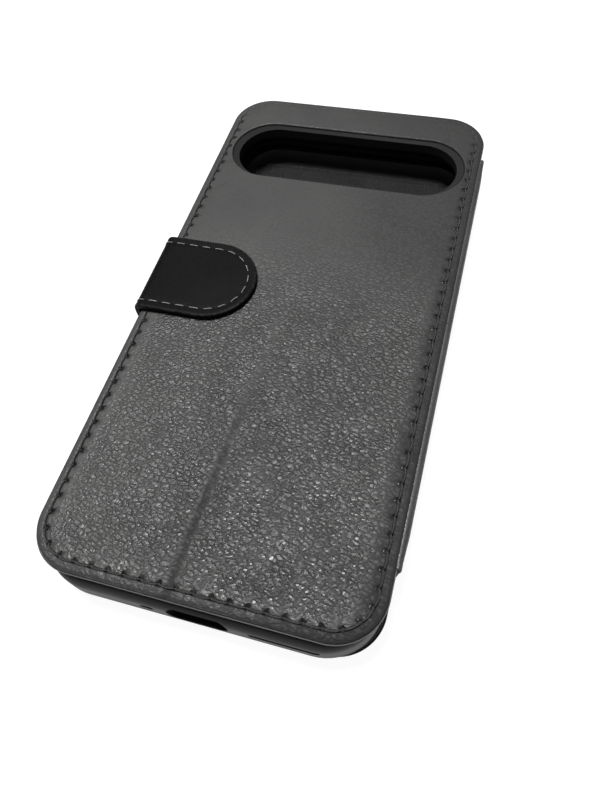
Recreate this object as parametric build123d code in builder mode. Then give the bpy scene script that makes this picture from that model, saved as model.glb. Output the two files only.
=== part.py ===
from build123d import *
import os

# Phone wallet case: a moulded tray that grips the phone, glued to the inside of a
# leather book cover (back panel, spine, front panel) with card pockets and a magnetic strap.
# Frame: X across the case (spine at +X, strap at -X), Y along it (camera end at +Y),
# Z up out of the back panel. The case lies closed on its front cover, whose outer face is Z = 0.
# All sizes in mm.

# ---- leather panels ----
PANEL_W = 78.5          # X
PANEL_L = 160.0         # Y
PANEL_R = 11.3          # corner radius
LEATHER_T = 0.8
HEM_W = 3.0             # turned-in leather at the edge
STITCH_IN = 2.1         # stitch line to panel edge
GROOVE_W = 0.6
GROOVE_D = 0.35
THREAD_T = 0.30
EDGE_R = 0.3

# ---- heights of the layers, from the outer face of the front cover ----
FRONT_BOARD_T = 1.0
LINING_T = 0.5
Z_FRONT_BOARD = LEATHER_T                       # 0.8
Z_FRONT_LINING = Z_FRONT_BOARD + FRONT_BOARD_T  # 1.8
Z_POCKETS = Z_FRONT_LINING + LINING_T           # 2.3
CASH_T = 0.35
CARD_T = 0.30
Z_TRAY = 3.9
TRAY_LIP_T = 1.05
CAVITY_H = 8.5
TRAY_BACK_T = 1.2
TRAY_H = TRAY_LIP_T + CAVITY_H + TRAY_BACK_T    # 10.75
ADHESIVE_T = 0.15
Z_ADHESIVE = Z_TRAY + TRAY_H                    # 14.65
Z_BACK_LINING = Z_ADHESIVE + ADHESIVE_T         # 14.8
BACK_BOARD_T = 0.7
Z_BACK_BOARD = Z_BACK_LINING + LINING_T         # 15.3
Z_BACK_LEATHER = Z_BACK_BOARD + BACK_BOARD_T    # 16.0
Z_TOP = Z_BACK_LEATHER + LEATHER_T              # 16.8

# ---- camera window ----
WIN_C = (0.15, 56.15)
WIN_L = 70.7
WIN_W = 23.7
WIN_HEM = 1.5

# ---- stand crease across the back panel ----
CREASE_X = -4.0
CREASE_GAP = 1.6
CREASE_R = 4.0

# ---- phone tray ----
PHONE_W = 72.0
PHONE_L = 152.8
PHONE_R = 10.5
FIT = 0.2               # play round the phone
WALL = 1.9
TRAY_C = (0.45, -3.1)
TRAY_W = PHONE_W + 2 * FIT + 2 * WALL           # 76.2
TRAY_L = PHONE_L + 2 * FIT + 2 * WALL           # 157.0
TRAY_R = PHONE_R + FIT + WALL
LIP_IN = 1.4            # lip reach over the phone's face
CAM_C = (0.33, 55.15)
CAM_L = 66.3
CAM_W = 21.9
RIM_GAP = 0.15          # raised camera rim to the leather window
RIM_H = 1.55            # height of the rim above the tray's back
Z_PORT = Z_TRAY + TRAY_LIP_T + CAVITY_H / 2 + 0.8  # just above mid-height of the phone
USB_X, USB_W, USB_H = 1.3, 13.8, 5.6
SPK_X, SPK_W, SPK_H = 20.3, 15.4, 1.8
MIC_X, MIC_W, MIC_H = -10.1, 3.2, 1.8
TOP_MIC_X, TOP_MIC_R = 8.0, 0.9
POWER_Y, POWER_L = 28.0, 11.0
VOLUME_Y, VOLUME_L = 8.0, 22.0
PAD_H = 3.0

# ---- spine ----
SPINE_X = 40.0          # fold axes
SPINE_T = 1.1
SPINE_Y0, SPINE_Y1 = -63.0, 65.0
Z_FOLD_FRONT = 0.9
Z_FOLD_BACK = 15.9

# ---- strap ----
STRAP_YC = 0.95
STRAP_W = 25.9
STRAP_X = -40.2         # fold axes
STRAP_SIDE_T = 1.2
STRAP_LEATHER_T = 0.7
STRAP_TIP_Z0 = 17.1
STRAP_TIP_T = 1.6
STRAP_TIP_LINING_T = 0.4
STRAP_END_X = -10.9
Z_FOLD_STRAP_ROOT = 0.9
Z_FOLD_STRAP_TIP = 17.7
STRAP_SIDE_Z1 = 16.5
MAGNET_X, MAGNET_R, MAGNET_T = -22.5, 5.0, 0.7

# ---- pockets on the inside of the front cover ----
POCKET_X0, POCKET_X1 = -33.0, 31.0
POCKET_Y0 = -72.0
CASH_Y1 = 66.0
CARD_Y1 = (2.0, 20.0, 38.0)     # mouths of card pockets 1, 2, 3
THUMB_R = 14.0
THUMB_D = 4.0

STRAP_Y0 = STRAP_YC - STRAP_W / 2
STRAP_Y1 = STRAP_YC + STRAP_W / 2
D_R = STRAP_W / 2
D_CX = STRAP_END_X - D_R

os.makedirs("parts", exist_ok=True)


def write(builder, name):
    """Label a finished piece and write it as its own STEP file."""
    builder.part.label = name
    export_step(builder.part, f"parts/{name}.step")


# =====================================================================
# Back panel
# =====================================================================

# Outer leather of the back: a sheet with its edges turned in round the boards,
# a window for the camera bar, a sewing groove and the valley of the stand crease.
with BuildPart() as back_leather:
    with BuildSketch(Plane.XY.offset(Z_BACK_LEATHER)):
        RectangleRounded(PANEL_W, PANEL_L, PANEL_R)
        with Locations(WIN_C):
            SlotOverall(WIN_L, WIN_W, mode=Mode.SUBTRACT)
    extrude(amount=LEATHER_T)
    top_outer = (
        back_leather.faces().sort_by(Axis.Z)[-1].outer_wire().edges()
    )
    fillet(top_outer, EDGE_R)
    with BuildSketch(Plane.XY.offset(Z_BACK_BOARD)):
        RectangleRounded(PANEL_W, PANEL_L, PANEL_R)
        RectangleRounded(
            PANEL_W - 2 * HEM_W, PANEL_L - 2 * HEM_W, PANEL_R - HEM_W, mode=Mode.SUBTRACT
        )
        with Locations(WIN_C):
            SlotOverall(WIN_L + 2 * WIN_HEM, WIN_W + 2 * WIN_HEM)
            SlotOverall(WIN_L, WIN_W, mode=Mode.SUBTRACT)
    extrude(amount=BACK_BOARD_T)
    with BuildSketch(Plane.XY.offset(Z_TOP - GROOVE_D)):
        g = STITCH_IN - GROOVE_W / 2
        h = STITCH_IN + GROOVE_W / 2
        RectangleRounded(PANEL_W - 2 * g, PANEL_L - 2 * g, PANEL_R - g)
        RectangleRounded(PANEL_W - 2 * h, PANEL_L - 2 * h, PANEL_R - h, mode=Mode.SUBTRACT)
    extrude(amount=GROOVE_D + 1, mode=Mode.SUBTRACT)
    # the valley fades out towards the window
    with BuildLine() as valley_path:
        Line(
            (CREASE_X - 1.0, -PANEL_L / 2 - 2, Z_TOP + CREASE_R - 0.26),
            (CREASE_X + 1.0, WIN_C[1] - WIN_W / 2 - 8, Z_TOP + CREASE_R + 0.03),
        )
    with BuildSketch(valley_path.line ^ 0):
        Circle(CREASE_R)
    sweep(path=valley_path.line, mode=Mode.SUBTRACT)
write(back_leather, "back_leather")

# Sewing thread of the back panel, lying in the groove.
with BuildPart() as back_stitching:
    with BuildSketch(Plane.XY.offset(Z_TOP - GROOVE_D)):
        g = STITCH_IN - GROOVE_W / 2 + 0.04
        h = STITCH_IN + GROOVE_W / 2 - 0.04
        RectangleRounded(PANEL_W - 2 * g, PANEL_L - 2 * g, PANEL_R - g)
        RectangleRounded(PANEL_W - 2 * h, PANEL_L - 2 * h, PANEL_R - h, mode=Mode.SUBTRACT)
    extrude(amount=THREAD_T)
write(back_stitching, "back_stitching")

# Stiffening boards inside the back panel: two below the window with a gap between
# them under the crease, and one above the window.
BOARD_IN = HEM_W + 0.1
BOARD_X = PANEL_W / 2 - BOARD_IN
BOARD_Y = PANEL_L / 2 - BOARD_IN
with BuildPart() as back_board_strap_side:
    with BuildSketch(Plane.XY.offset(Z_BACK_BOARD)):
        RectangleRounded(2 * BOARD_X, 2 * BOARD_Y, PANEL_R - BOARD_IN)
        with Locations((0, WIN_C[1] + 20)):
            Rectangle(PANEL_W, WIN_W + 43, mode=Mode.SUBTRACT)
        with Locations((CREASE_X - CREASE_GAP / 2 + 50, 0)):
            Rectangle(100, PANEL_L, mode=Mode.SUBTRACT)
        with Locations((MAGNET_X, STRAP_YC)):
            Circle(MAGNET_R + 0.1, mode=Mode.SUBTRACT)
    extrude(amount=BACK_BOARD_T)
write(back_board_strap_side, "back_board_strap_side")

with BuildPart() as back_board_spine_side:
    with BuildSketch(Plane.XY.offset(Z_BACK_BOARD)):
        RectangleRounded(2 * BOARD_X, 2 * BOARD_Y, PANEL_R - BOARD_IN)
        with Locations((0, WIN_C[1] + 20)):
            Rectangle(PANEL_W, WIN_W + 43, mode=Mode.SUBTRACT)
        with Locations((CREASE_X + CREASE_GAP / 2 - 50, 0)):
            Rectangle(100, PANEL_L, mode=Mode.SUBTRACT)
    extrude(amount=BACK_BOARD_T)
write(back_board_spine_side, "back_board_spine_side")

with BuildPart() as back_board_top:
    with BuildSketch(Plane.XY.offset(Z_BACK_BOARD)):
        RectangleRounded(2 * BOARD_X, 2 * BOARD_Y, PANEL_R - BOARD_IN)
        with Locations((0, WIN_C[1] + WIN_W / 2 + WIN_HEM + 0.2 - 100)):
            Rectangle(PANEL_W, 200, mode=Mode.SUBTRACT)
    extrude(amount=BACK_BOARD_T)
write(back_board_top, "back_board_top")

# Steel disc in the back board, which the strap's magnet grips through the leather.
with BuildPart() as back_clasp_plate:
    with BuildSketch(Plane.XY.offset(Z_BACK_BOARD + 0.05)):
        with Locations((MAGNET_X, STRAP_YC)):
            Circle(MAGNET_R)
    extrude(amount=BACK_BOARD_T - 0.1)
write(back_clasp_plate, "back_clasp_plate")

# Lining behind the boards.
with BuildPart() as back_lining:
    with BuildSketch(Plane.XY.offset(Z_BACK_LINING)):
        RectangleRounded(PANEL_W - 0.8, PANEL_L - 0.8, PANEL_R - 0.4)
        with Locations(WIN_C):
            SlotOverall(WIN_L, WIN_W, mode=Mode.SUBTRACT)
    extrude(amount=LINING_T)
write(back_lining, "back_lining")

# Glue film: the tray is stuck down on the strap side of the crease only, so that the
# other half of the panel can swing away from it as a stand.
with BuildPart() as tray_adhesive:
    with BuildSketch(Plane.XY.offset(Z_ADHESIVE)):
        with Locations((CREASE_X - 15.5, -14.0)):
            RectangleRounded(27.0, 108.0, 4)
    extrude(amount=ADHESIVE_T)
write(tray_adhesive, "tray_adhesive")

# =====================================================================
# Phone tray
# =====================================================================

with BuildPart() as phone_tray:
    with BuildSketch(Plane.XY.offset(Z_TRAY)):
        with Locations(TRAY_C):
            RectangleRounded(TRAY_W, TRAY_L, TRAY_R)
    extrude(amount=TRAY_H)
    # softly bulged walls
    fillet(phone_tray.faces().sort_by(Axis.Z)[-1].edges(), 3.6)
    fillet(phone_tray.faces().sort_by(Axis.Z)[0].edges(), 2.6)
    # space for the phone
    with BuildPart(mode=Mode.PRIVATE) as phone_space:
        with BuildSketch(Plane.XY.offset(Z_TRAY + TRAY_LIP_T)):
            with Locations(TRAY_C):
                RectangleRounded(PHONE_W + 2 * FIT, PHONE_L + 2 * FIT, PHONE_R + FIT)
        extrude(amount=CAVITY_H)
        fillet(phone_space.faces().sort_by(Axis.Z)[-1].edges(), 2.4)
        fillet(phone_space.faces().sort_by(Axis.Z)[0].edges(), 1.6)
    add(phone_space.part, mode=Mode.SUBTRACT)
    # open face inside the lip
    with BuildSketch(Plane.XY.offset(Z_TRAY - 1)):
        with Locations(TRAY_C):
            RectangleRounded(
                PHONE_W - 2 * LIP_IN, PHONE_L - 2 * LIP_IN, PHONE_R - LIP_IN + 0.6
            )
    extrude(amount=TRAY_LIP_T + 3, mode=Mode.SUBTRACT)
    # raised rim round the camera hole, standing up inside the leather window
    with BuildPart(mode=Mode.PRIVATE) as camera_rim:
        with BuildSketch(Plane.XY.offset(Z_TRAY + TRAY_H - 0.5)):
            with Locations(WIN_C):
                SlotOverall(WIN_L - 2 * RIM_GAP, WIN_W - 2 * RIM_GAP)
                # the rim stops short of the window's lower edge
                with Locations((0, -WIN_W / 2)):
                    Rectangle(WIN_L, 1.8, mode=Mode.SUBTRACT)
        extrude(amount=RIM_H + 0.5)
    add(camera_rim.part)
    # camera hole
    with BuildSketch(Plane.XY.offset(Z_TRAY + TRAY_LIP_T + CAVITY_H - 1)):
        with Locations(CAM_C):
            SlotOverall(CAM_L, CAM_W)
    extrude(amount=TRAY_BACK_T + RIM_H + 3, mode=Mode.SUBTRACT)
    # charging port, loudspeaker and microphone slots in the bottom wall
    with BuildSketch(Plane.XZ.offset(-(TRAY_C[1] - TRAY_L / 2 + WALL + 1.5))):
        with Locations((USB_X, Z_PORT)):
            RectangleRounded(USB_W, USB_H, 2.4)
        with Locations((SPK_X, Z_PORT)):
            SlotOverall(SPK_W, SPK_H)
        with Locations((MIC_X, Z_PORT)):
            SlotOverall(MIC_W, MIC_H)
    extrude(amount=WALL + 4, mode=Mode.SUBTRACT)
    # microphone hole in the top wall
    with BuildSketch(Plane.XZ.offset(-(TRAY_C[1] + TRAY_L / 2 + 1))):
        with Locations((TOP_MIC_X, Z_PORT)):
            Circle(TOP_MIC_R)
    extrude(amount=WALL + 2.5, mode=Mode.SUBTRACT)
    # raised pads over the phone's side buttons, on the strap side
    tray_x0 = TRAY_C[0] - TRAY_W / 2
    with BuildSketch(Plane.YZ.offset(tray_x0 + 0.5)):
        with Locations((POWER_Y, Z_PORT)):
            SlotOverall(POWER_L, PAD_H)
        with Locations((VOLUME_Y, Z_PORT)):
            SlotOverall(VOLUME_L, PAD_H)
    extrude(amount=-1.1)
    fillet(phone_tray.faces().sort_by(Axis.X)[0:2].edges(), 0.35)
write(phone_tray, "phone_tray")

# =====================================================================
# Spine
# =====================================================================

# The spine is one leather strip folded at each long edge; each edge is rounded about
# its fold line. Outer leather and inner lining are split at mid-thickness.
with BuildPart() as spine_leather:
    with BuildSketch(Plane.XZ.offset(-SPINE_Y1)):
        with Locations((SPINE_X, (Z_FOLD_FRONT + Z_FOLD_BACK) / 2)):
            SlotCenterToCenter(Z_FOLD_BACK - Z_FOLD_FRONT, SPINE_T, rotation=90)
        with Locations((SPINE_X - 50, 8)):
            Rectangle(100, 40, mode=Mode.SUBTRACT)
    extrude(amount=SPINE_Y1 - SPINE_Y0)
    fillet(spine_leather.faces().filter_by(Axis.Y).edges().filter_by(Axis.Y, reverse=True)
           .filter_by(GeomType.CIRCLE), 0.25)
write(spine_leather, "spine_leather")

with BuildPart() as spine_lining:
    with BuildSketch(Plane.XZ.offset(-(SPINE_Y1 - 0.5))):
        with Locations((SPINE_X, (Z_FOLD_FRONT + Z_FOLD_BACK) / 2)):
            SlotCenterToCenter(Z_FOLD_BACK - Z_FOLD_FRONT, SPINE_T, rotation=90)
        with Locations((SPINE_X + 50, 8)):
            Rectangle(100, 40, mode=Mode.SUBTRACT)
    extrude(amount=SPINE_Y1 - SPINE_Y0 - 1.0)
write(spine_lining, "spine_lining")

# =====================================================================
# Front cover
# =====================================================================

with BuildPart() as front_leather:
    with BuildSketch():
        RectangleRounded(PANEL_W, PANEL_L, PANEL_R)
    extrude(amount=LEATHER_T)
    fillet(front_leather.faces().sort_by(Axis.Z)[0].outer_wire().edges(), EDGE_R)
    with BuildSketch(Plane.XY.offset(Z_FRONT_BOARD)):
        RectangleRounded(PANEL_W, PANEL_L, PANEL_R)
        RectangleRounded(
            PANEL_W - 2 * HEM_W, PANEL_L - 2 * HEM_W, PANEL_R - HEM_W, mode=Mode.SUBTRACT
        )
        # the strap's root is let in here
        with Locations((-PANEL_W / 2, STRAP_YC)):
            Rectangle(2 * HEM_W + 2, STRAP_W + 0.4, mode=Mode.SUBTRACT)
    extrude(amount=FRONT_BOARD_T)
    with BuildSketch():
        g = STITCH_IN - GROOVE_W / 2
        h = STITCH_IN + GROOVE_W / 2
        RectangleRounded(PANEL_W - 2 * g, PANEL_L - 2 * g, PANEL_R - g)
        RectangleRounded(PANEL_W - 2 * h, PANEL_L - 2 * h, PANEL_R - h, mode=Mode.SUBTRACT)
    extrude(amount=GROOVE_D, mode=Mode.SUBTRACT)
write(front_leather, "front_leather")

with BuildPart() as front_stitching:
    with BuildSketch(Plane.XY.offset(GROOVE_D)):
        g = STITCH_IN - GROOVE_W / 2 + 0.04
        h = STITCH_IN + GROOVE_W / 2 - 0.04
        RectangleRounded(PANEL_W - 2 * g, PANEL_L - 2 * g, PANEL_R - g)
        RectangleRounded(PANEL_W - 2 * h, PANEL_L - 2 * h, PANEL_R - h, mode=Mode.SUBTRACT)
    extrude(amount=-THREAD_T)
write(front_stitching, "front_stitching")

ANCHOR_L = 9.0
with BuildPart() as front_board:
    with BuildSketch(Plane.XY.offset(Z_FRONT_BOARD)):
        RectangleRounded(2 * BOARD_X, 2 * BOARD_Y, PANEL_R - BOARD_IN)
        with Locations((-PANEL_W / 2, STRAP_YC)):
            Rectangle(2 * (ANCHOR_L + 0.3), STRAP_W + 0.4, mode=Mode.SUBTRACT)
    extrude(amount=FRONT_BOARD_T)
write(front_board, "front_board")

# Root of the strap, sewn in between the front cover's leather and lining.
with BuildPart() as strap_anchor:
    with BuildSketch(Plane.XY.offset(Z_FRONT_BOARD)):
        with Locations((-PANEL_W / 2 + ANCHOR_L / 2, STRAP_YC)):
            Rectangle(ANCHOR_L, STRAP_W)
    extrude(amount=FRONT_BOARD_T)
    fillet(strap_anchor.edges().filter_by(Axis.Z).sort_by(Axis.X)[-2:], 2.0)
write(strap_anchor, "strap_anchor")

with BuildPart() as front_lining:
    with BuildSketch(Plane.XY.offset(Z_FRONT_LINING)):
        RectangleRounded(PANEL_W - 0.8, PANEL_L - 0.8, PANEL_R - 0.4)
    extrude(amount=LINING_T)
write(front_lining, "front_lining")

# Pocket panels, stacked towards the phone. Each is sewn down its two sides and its foot.
PK_C = (POCKET_X0 + POCKET_X1) / 2
PK_W = POCKET_X1 - POCKET_X0
SEAM = 1.5              # seam line to pocket edge
SEAM_D = 0.15
Z_CARD = [Z_POCKETS + CASH_T + CARD_T * i for i in (2, 1, 0)]   # card pockets 1, 2, 3

with BuildPart() as cash_pocket:
    with BuildSketch(Plane.XY.offset(Z_POCKETS)):
        with Locations((PK_C, (POCKET_Y0 + CASH_Y1) / 2)):
            RectangleRounded(PK_W, CASH_Y1 - POCKET_Y0, 4.0)
    extrude(amount=CASH_T)
    with BuildSketch(Plane.XY.offset(Z_POCKETS + CASH_T - SEAM_D)):
        with Locations((POCKET_X0 + SEAM, (CARD_Y1[2] + CASH_Y1) / 2)):
            Rectangle(0.5, CASH_Y1 - CARD_Y1[2] - 8)
    extrude(amount=1, mode=Mode.SUBTRACT)
write(cash_pocket, "cash_pocket")

with BuildPart() as card_pocket_3:
    with BuildSketch(Plane.XY.offset(Z_CARD[2])):
        with Locations((PK_C, (POCKET_Y0 + CARD_Y1[2]) / 2)):
            RectangleRounded(PK_W, CARD_Y1[2] - POCKET_Y0, 1.5)
        with Locations((PK_C, CARD_Y1[2] + THUMB_R - THUMB_D)):
            Circle(THUMB_R, mode=Mode.SUBTRACT)
    extrude(amount=CARD_T)
    with BuildSketch(Plane.XY.offset(Z_CARD[2] + CARD_T - SEAM_D)):
        for x in (POCKET_X0 + SEAM, POCKET_X1 - SEAM):
            with Locations((x, (CARD_Y1[1] + CARD_Y1[2]) / 2)):
                Rectangle(0.5, CARD_Y1[2] - CARD_Y1[1] - 4)
    extrude(amount=1, mode=Mode.SUBTRACT)
write(card_pocket_3, "card_pocket_3")

with BuildPart() as card_pocket_2:
    with BuildSketch(Plane.XY.offset(Z_CARD[1])):
        with Locations((PK_C, (POCKET_Y0 + CARD_Y1[1]) / 2)):
            RectangleRounded(PK_W, CARD_Y1[1] - POCKET_Y0, 1.5)
        with Locations((PK_C, CARD_Y1[1] + THUMB_R - THUMB_D)):
            Circle(THUMB_R, mode=Mode.SUBTRACT)
    extrude(amount=CARD_T)
    with BuildSketch(Plane.XY.offset(Z_CARD[1] + CARD_T - SEAM_D)):
        for x in (POCKET_X0 + SEAM, POCKET_X1 - SEAM):
            with Locations((x, (CARD_Y1[0] + CARD_Y1[1]) / 2)):
                Rectangle(0.5, CARD_Y1[1] - CARD_Y1[0] - 4)
    extrude(amount=1, mode=Mode.SUBTRACT)
write(card_pocket_2, "card_pocket_2")

with BuildPart() as card_pocket_1:
    with BuildSketch(Plane.XY.offset(Z_CARD[0])):
        with Locations((PK_C, (POCKET_Y0 + CARD_Y1[0]) / 2)):
            RectangleRounded(PK_W, CARD_Y1[0] - POCKET_Y0, 1.5)
        with Locations((PK_C, CARD_Y1[0] + THUMB_R - THUMB_D)):
            Circle(THUMB_R, mode=Mode.SUBTRACT)
    extrude(amount=CARD_T)
    with BuildSketch(Plane.XY.offset(Z_CARD[0] + CARD_T - SEAM_D)):
        for x in (POCKET_X0 + SEAM, POCKET_X1 - SEAM):
            with Locations((x, (POCKET_Y0 + CARD_Y1[0]) / 2)):
                Rectangle(0.5, CARD_Y1[0] - POCKET_Y0 - 4)
        with Locations((PK_C, POCKET_Y0 + SEAM)):
            Rectangle(PK_W - 4, 0.5)
    extrude(amount=1, mode=Mode.SUBTRACT)
write(card_pocket_1, "card_pocket_1")

# Thread runs that hold the pockets, one at each exposed step.
with BuildPart() as pocket_stitching:
    with BuildSketch(Plane.XY.offset(Z_CARD[0] + CARD_T - SEAM_D)):
        for x in (POCKET_X0 + SEAM, POCKET_X1 - SEAM):
            with Locations((x, (POCKET_Y0 + CARD_Y1[0]) / 2)):
                Rectangle(0.4, CARD_Y1[0] - POCKET_Y0 - 4.1)
        with Locations((PK_C, POCKET_Y0 + SEAM)):
            Rectangle(PK_W - 4.1, 0.4)
    extrude(amount=SEAM_D)
    with BuildSketch(Plane.XY.offset(Z_CARD[1] + CARD_T - SEAM_D)):
        for x in (POCKET_X0 + SEAM, POCKET_X1 - SEAM):
            with Locations((x, (CARD_Y1[0] + CARD_Y1[1]) / 2)):
                Rectangle(0.4, CARD_Y1[1] - CARD_Y1[0] - 4.1)
    extrude(amount=SEAM_D)
    with BuildSketch(Plane.XY.offset(Z_CARD[2] + CARD_T - SEAM_D)):
        for x in (POCKET_X0 + SEAM, POCKET_X1 - SEAM):
            with Locations((x, (CARD_Y1[1] + CARD_Y1[2]) / 2)):
                Rectangle(0.4, CARD_Y1[2] - CARD_Y1[1] - 4.1)
    extrude(amount=SEAM_D)
    with BuildSketch(Plane.XY.offset(Z_POCKETS + CASH_T - SEAM_D)):
        with Locations((POCKET_X0 + SEAM, (CARD_Y1[2] + CASH_Y1) / 2)):
            Rectangle(0.4, CASH_Y1 - CARD_Y1[2] - 8.1)
    extrude(amount=SEAM_D)
write(pocket_stitching, "pocket_stitching")

# =====================================================================
# Strap: from the front cover's free edge, up the side and over the back panel
# =====================================================================

SIDE_X0 = STRAP_X - STRAP_SIDE_T / 2            # outer face
SIDE_X1 = STRAP_X + STRAP_SIDE_T / 2            # inner face
SPLIT_X = SIDE_X0 + STRAP_LEATHER_T

with BuildPart() as strap_side_leather:
    with BuildSketch(Plane.XZ.offset(-STRAP_Y1)):
        with Locations((STRAP_X, (Z_FOLD_STRAP_ROOT + STRAP_SIDE_Z1) / 2)):
            Rectangle(STRAP_SIDE_T, STRAP_SIDE_Z1 - Z_FOLD_STRAP_ROOT)
        with Locations((STRAP_X, Z_FOLD_STRAP_ROOT)):
            Circle(STRAP_SIDE_T / 2)
        with Locations((SPLIT_X + 50, 8)):
            Rectangle(100, 40, mode=Mode.SUBTRACT)
    extrude(amount=STRAP_W)
    with BuildSketch(Plane.YZ.offset(SIDE_X0 + 0.3)):
        for y in (STRAP_Y0 + 2.3, STRAP_Y1 - 2.3):
            with Locations((y, (Z_FOLD_STRAP_ROOT + STRAP_SIDE_Z1) / 2)):
                Rectangle(0.6, STRAP_SIDE_Z1 - Z_FOLD_STRAP_ROOT - 2)
    extrude(amount=-1, mode=Mode.SUBTRACT)
write(strap_side_leather, "strap_side_leather")

with BuildPart() as strap_side_lining:
    with BuildSketch(Plane.XZ.offset(-(STRAP_Y1 - 0.2))):
        with Locations((STRAP_X, (Z_FOLD_STRAP_ROOT + STRAP_SIDE_Z1) / 2)):
            Rectangle(STRAP_SIDE_T, STRAP_SIDE_Z1 - Z_FOLD_STRAP_ROOT)
        with Locations((STRAP_X, Z_FOLD_STRAP_ROOT)):
            Circle(STRAP_SIDE_T / 2)
        with Locations((SPLIT_X - 50, 8)):
            Rectangle(100, 40, mode=Mode.SUBTRACT)
    extrude(amount=STRAP_W - 0.4)
write(strap_side_lining, "strap_side_lining")

with BuildPart() as strap_side_stitching:
    with BuildSketch(Plane.YZ.offset(SIDE_X0 + 0.28)):
        for y in (STRAP_Y0 + 2.3, STRAP_Y1 - 2.3):
            with Locations((y, (Z_FOLD_STRAP_ROOT + STRAP_SIDE_Z1) / 2)):
                Rectangle(0.5, STRAP_SIDE_Z1 - Z_FOLD_STRAP_ROOT - 2.1)
    extrude(amount=-0.28)
write(strap_side_stitching, "strap_side_stitching")

# D-shaped end of the strap, with a magnet between its leather and its lining.
TIP_Z1 = STRAP_TIP_Z0 + STRAP_TIP_T
TIP_SPLIT = STRAP_TIP_Z0 + STRAP_TIP_LINING_T
TIP_X0 = STRAP_X - 0.6
with BuildPart() as strap_tip_leather:
    with BuildSketch(Plane.XY.offset(TIP_SPLIT)):
        with Locations(((TIP_X0 + D_CX) / 2, STRAP_YC)):
            Rectangle(D_CX - TIP_X0, STRAP_W)
        with Locations((D_CX, STRAP_YC)):
            Circle(D_R)
    extrude(amount=TIP_Z1 - TIP_SPLIT)
    fillet(strap_tip_leather.faces().sort_by(Axis.Z)[-1].edges(), 0.35)
    with BuildSketch(Plane.XY.offset(TIP_SPLIT)):
        with Locations((MAGNET_X, STRAP_YC)):
            Circle(MAGNET_R + 0.1)
    extrude(amount=MAGNET_T + 0.05, mode=Mode.SUBTRACT)
    with BuildSketch(Plane.XY.offset(TIP_Z1 - 0.3)):
        with Locations(((TIP_X0 + 2.5 + D_CX) / 2, STRAP_YC)):
            Rectangle(D_CX - TIP_X0 - 2.5, STRAP_W - 2 * 2.0)
        with Locations((D_CX, STRAP_YC)):
            Circle(D_R - 2.0)
        with Locations(((TIP_X0 + D_CX) / 2, STRAP_YC)):
            Rectangle(D_CX - TIP_X0, STRAP_W - 2 * 2.6, mode=Mode.SUBTRACT)
        with Locations((D_CX, STRAP_YC)):
            Circle(D_R - 2.6, mode=Mode.SUBTRACT)
    extrude(amount=1, mode=Mode.SUBTRACT)
    # nose rounded about the fold line
    with BuildSketch(Plane.XZ.offset(-STRAP_Y1 - 1)):
        with Locations((STRAP_X - 1, Z_FOLD_STRAP_TIP - 1)):
            Rectangle(2, 2)
        with Locations((STRAP_X, Z_FOLD_STRAP_TIP)):
            Circle(STRAP_SIDE_T / 2, mode=Mode.SUBTRACT)
    extrude(amount=STRAP_W + 2, mode=Mode.SUBTRACT)
write(strap_tip_leather, "strap_tip_leather")

with BuildPart() as strap_tip_lining:
    with BuildSketch(Plane.XY.offset(STRAP_TIP_Z0)):
        with Locations(((TIP_X0 + D_CX) / 2, STRAP_YC)):
            Rectangle(D_CX - TIP_X0, STRAP_W - 0.4)
        with Locations((D_CX, STRAP_YC)):
            Circle(D_R - 0.2)
    extrude(amount=STRAP_TIP_LINING_T)
    with BuildSketch(Plane.XZ.offset(-STRAP_Y1 - 1)):
        with Locations((STRAP_X - 1, Z_FOLD_STRAP_TIP - 1)):
            Rectangle(2, 2)
        with Locations((STRAP_X, Z_FOLD_STRAP_TIP)):
            Circle(STRAP_SIDE_T / 2, mode=Mode.SUBTRACT)
    extrude(amount=STRAP_W + 2, mode=Mode.SUBTRACT)
write(strap_tip_lining, "strap_tip_lining")

with BuildPart() as strap_magnet:
    with BuildSketch(Plane.XY.offset(TIP_SPLIT)):
        with Locations((MAGNET_X, STRAP_YC)):
            Circle(MAGNET_R)
    extrude(amount=MAGNET_T)
write(strap_magnet, "strap_magnet")

with BuildPart() as strap_tip_stitching:
    with BuildSketch(Plane.XY.offset(TIP_Z1 - 0.28)):
        with Locations(((TIP_X0 + 2.6 + D_CX) / 2, STRAP_YC)):
            Rectangle(D_CX - TIP_X0 - 2.6, STRAP_W - 2 * 2.05)
        with Locations((D_CX, STRAP_YC)):
            Circle(D_R - 2.05)
        with Locations(((TIP_X0 + D_CX) / 2, STRAP_YC)):
            Rectangle(D_CX - TIP_X0, STRAP_W - 2 * 2.55, mode=Mode.SUBTRACT)
        with Locations((D_CX, STRAP_YC)):
            Circle(D_R - 2.55, mode=Mode.SUBTRACT)
    extrude(amount=0.28)
write(strap_tip_stitching, "strap_tip_stitching")
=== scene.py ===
import math
import bpy
import bmesh
import numpy as np
from mathutils import Vector, Matrix
from mathutils.geometry import delaunay_2d_cdt


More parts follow.
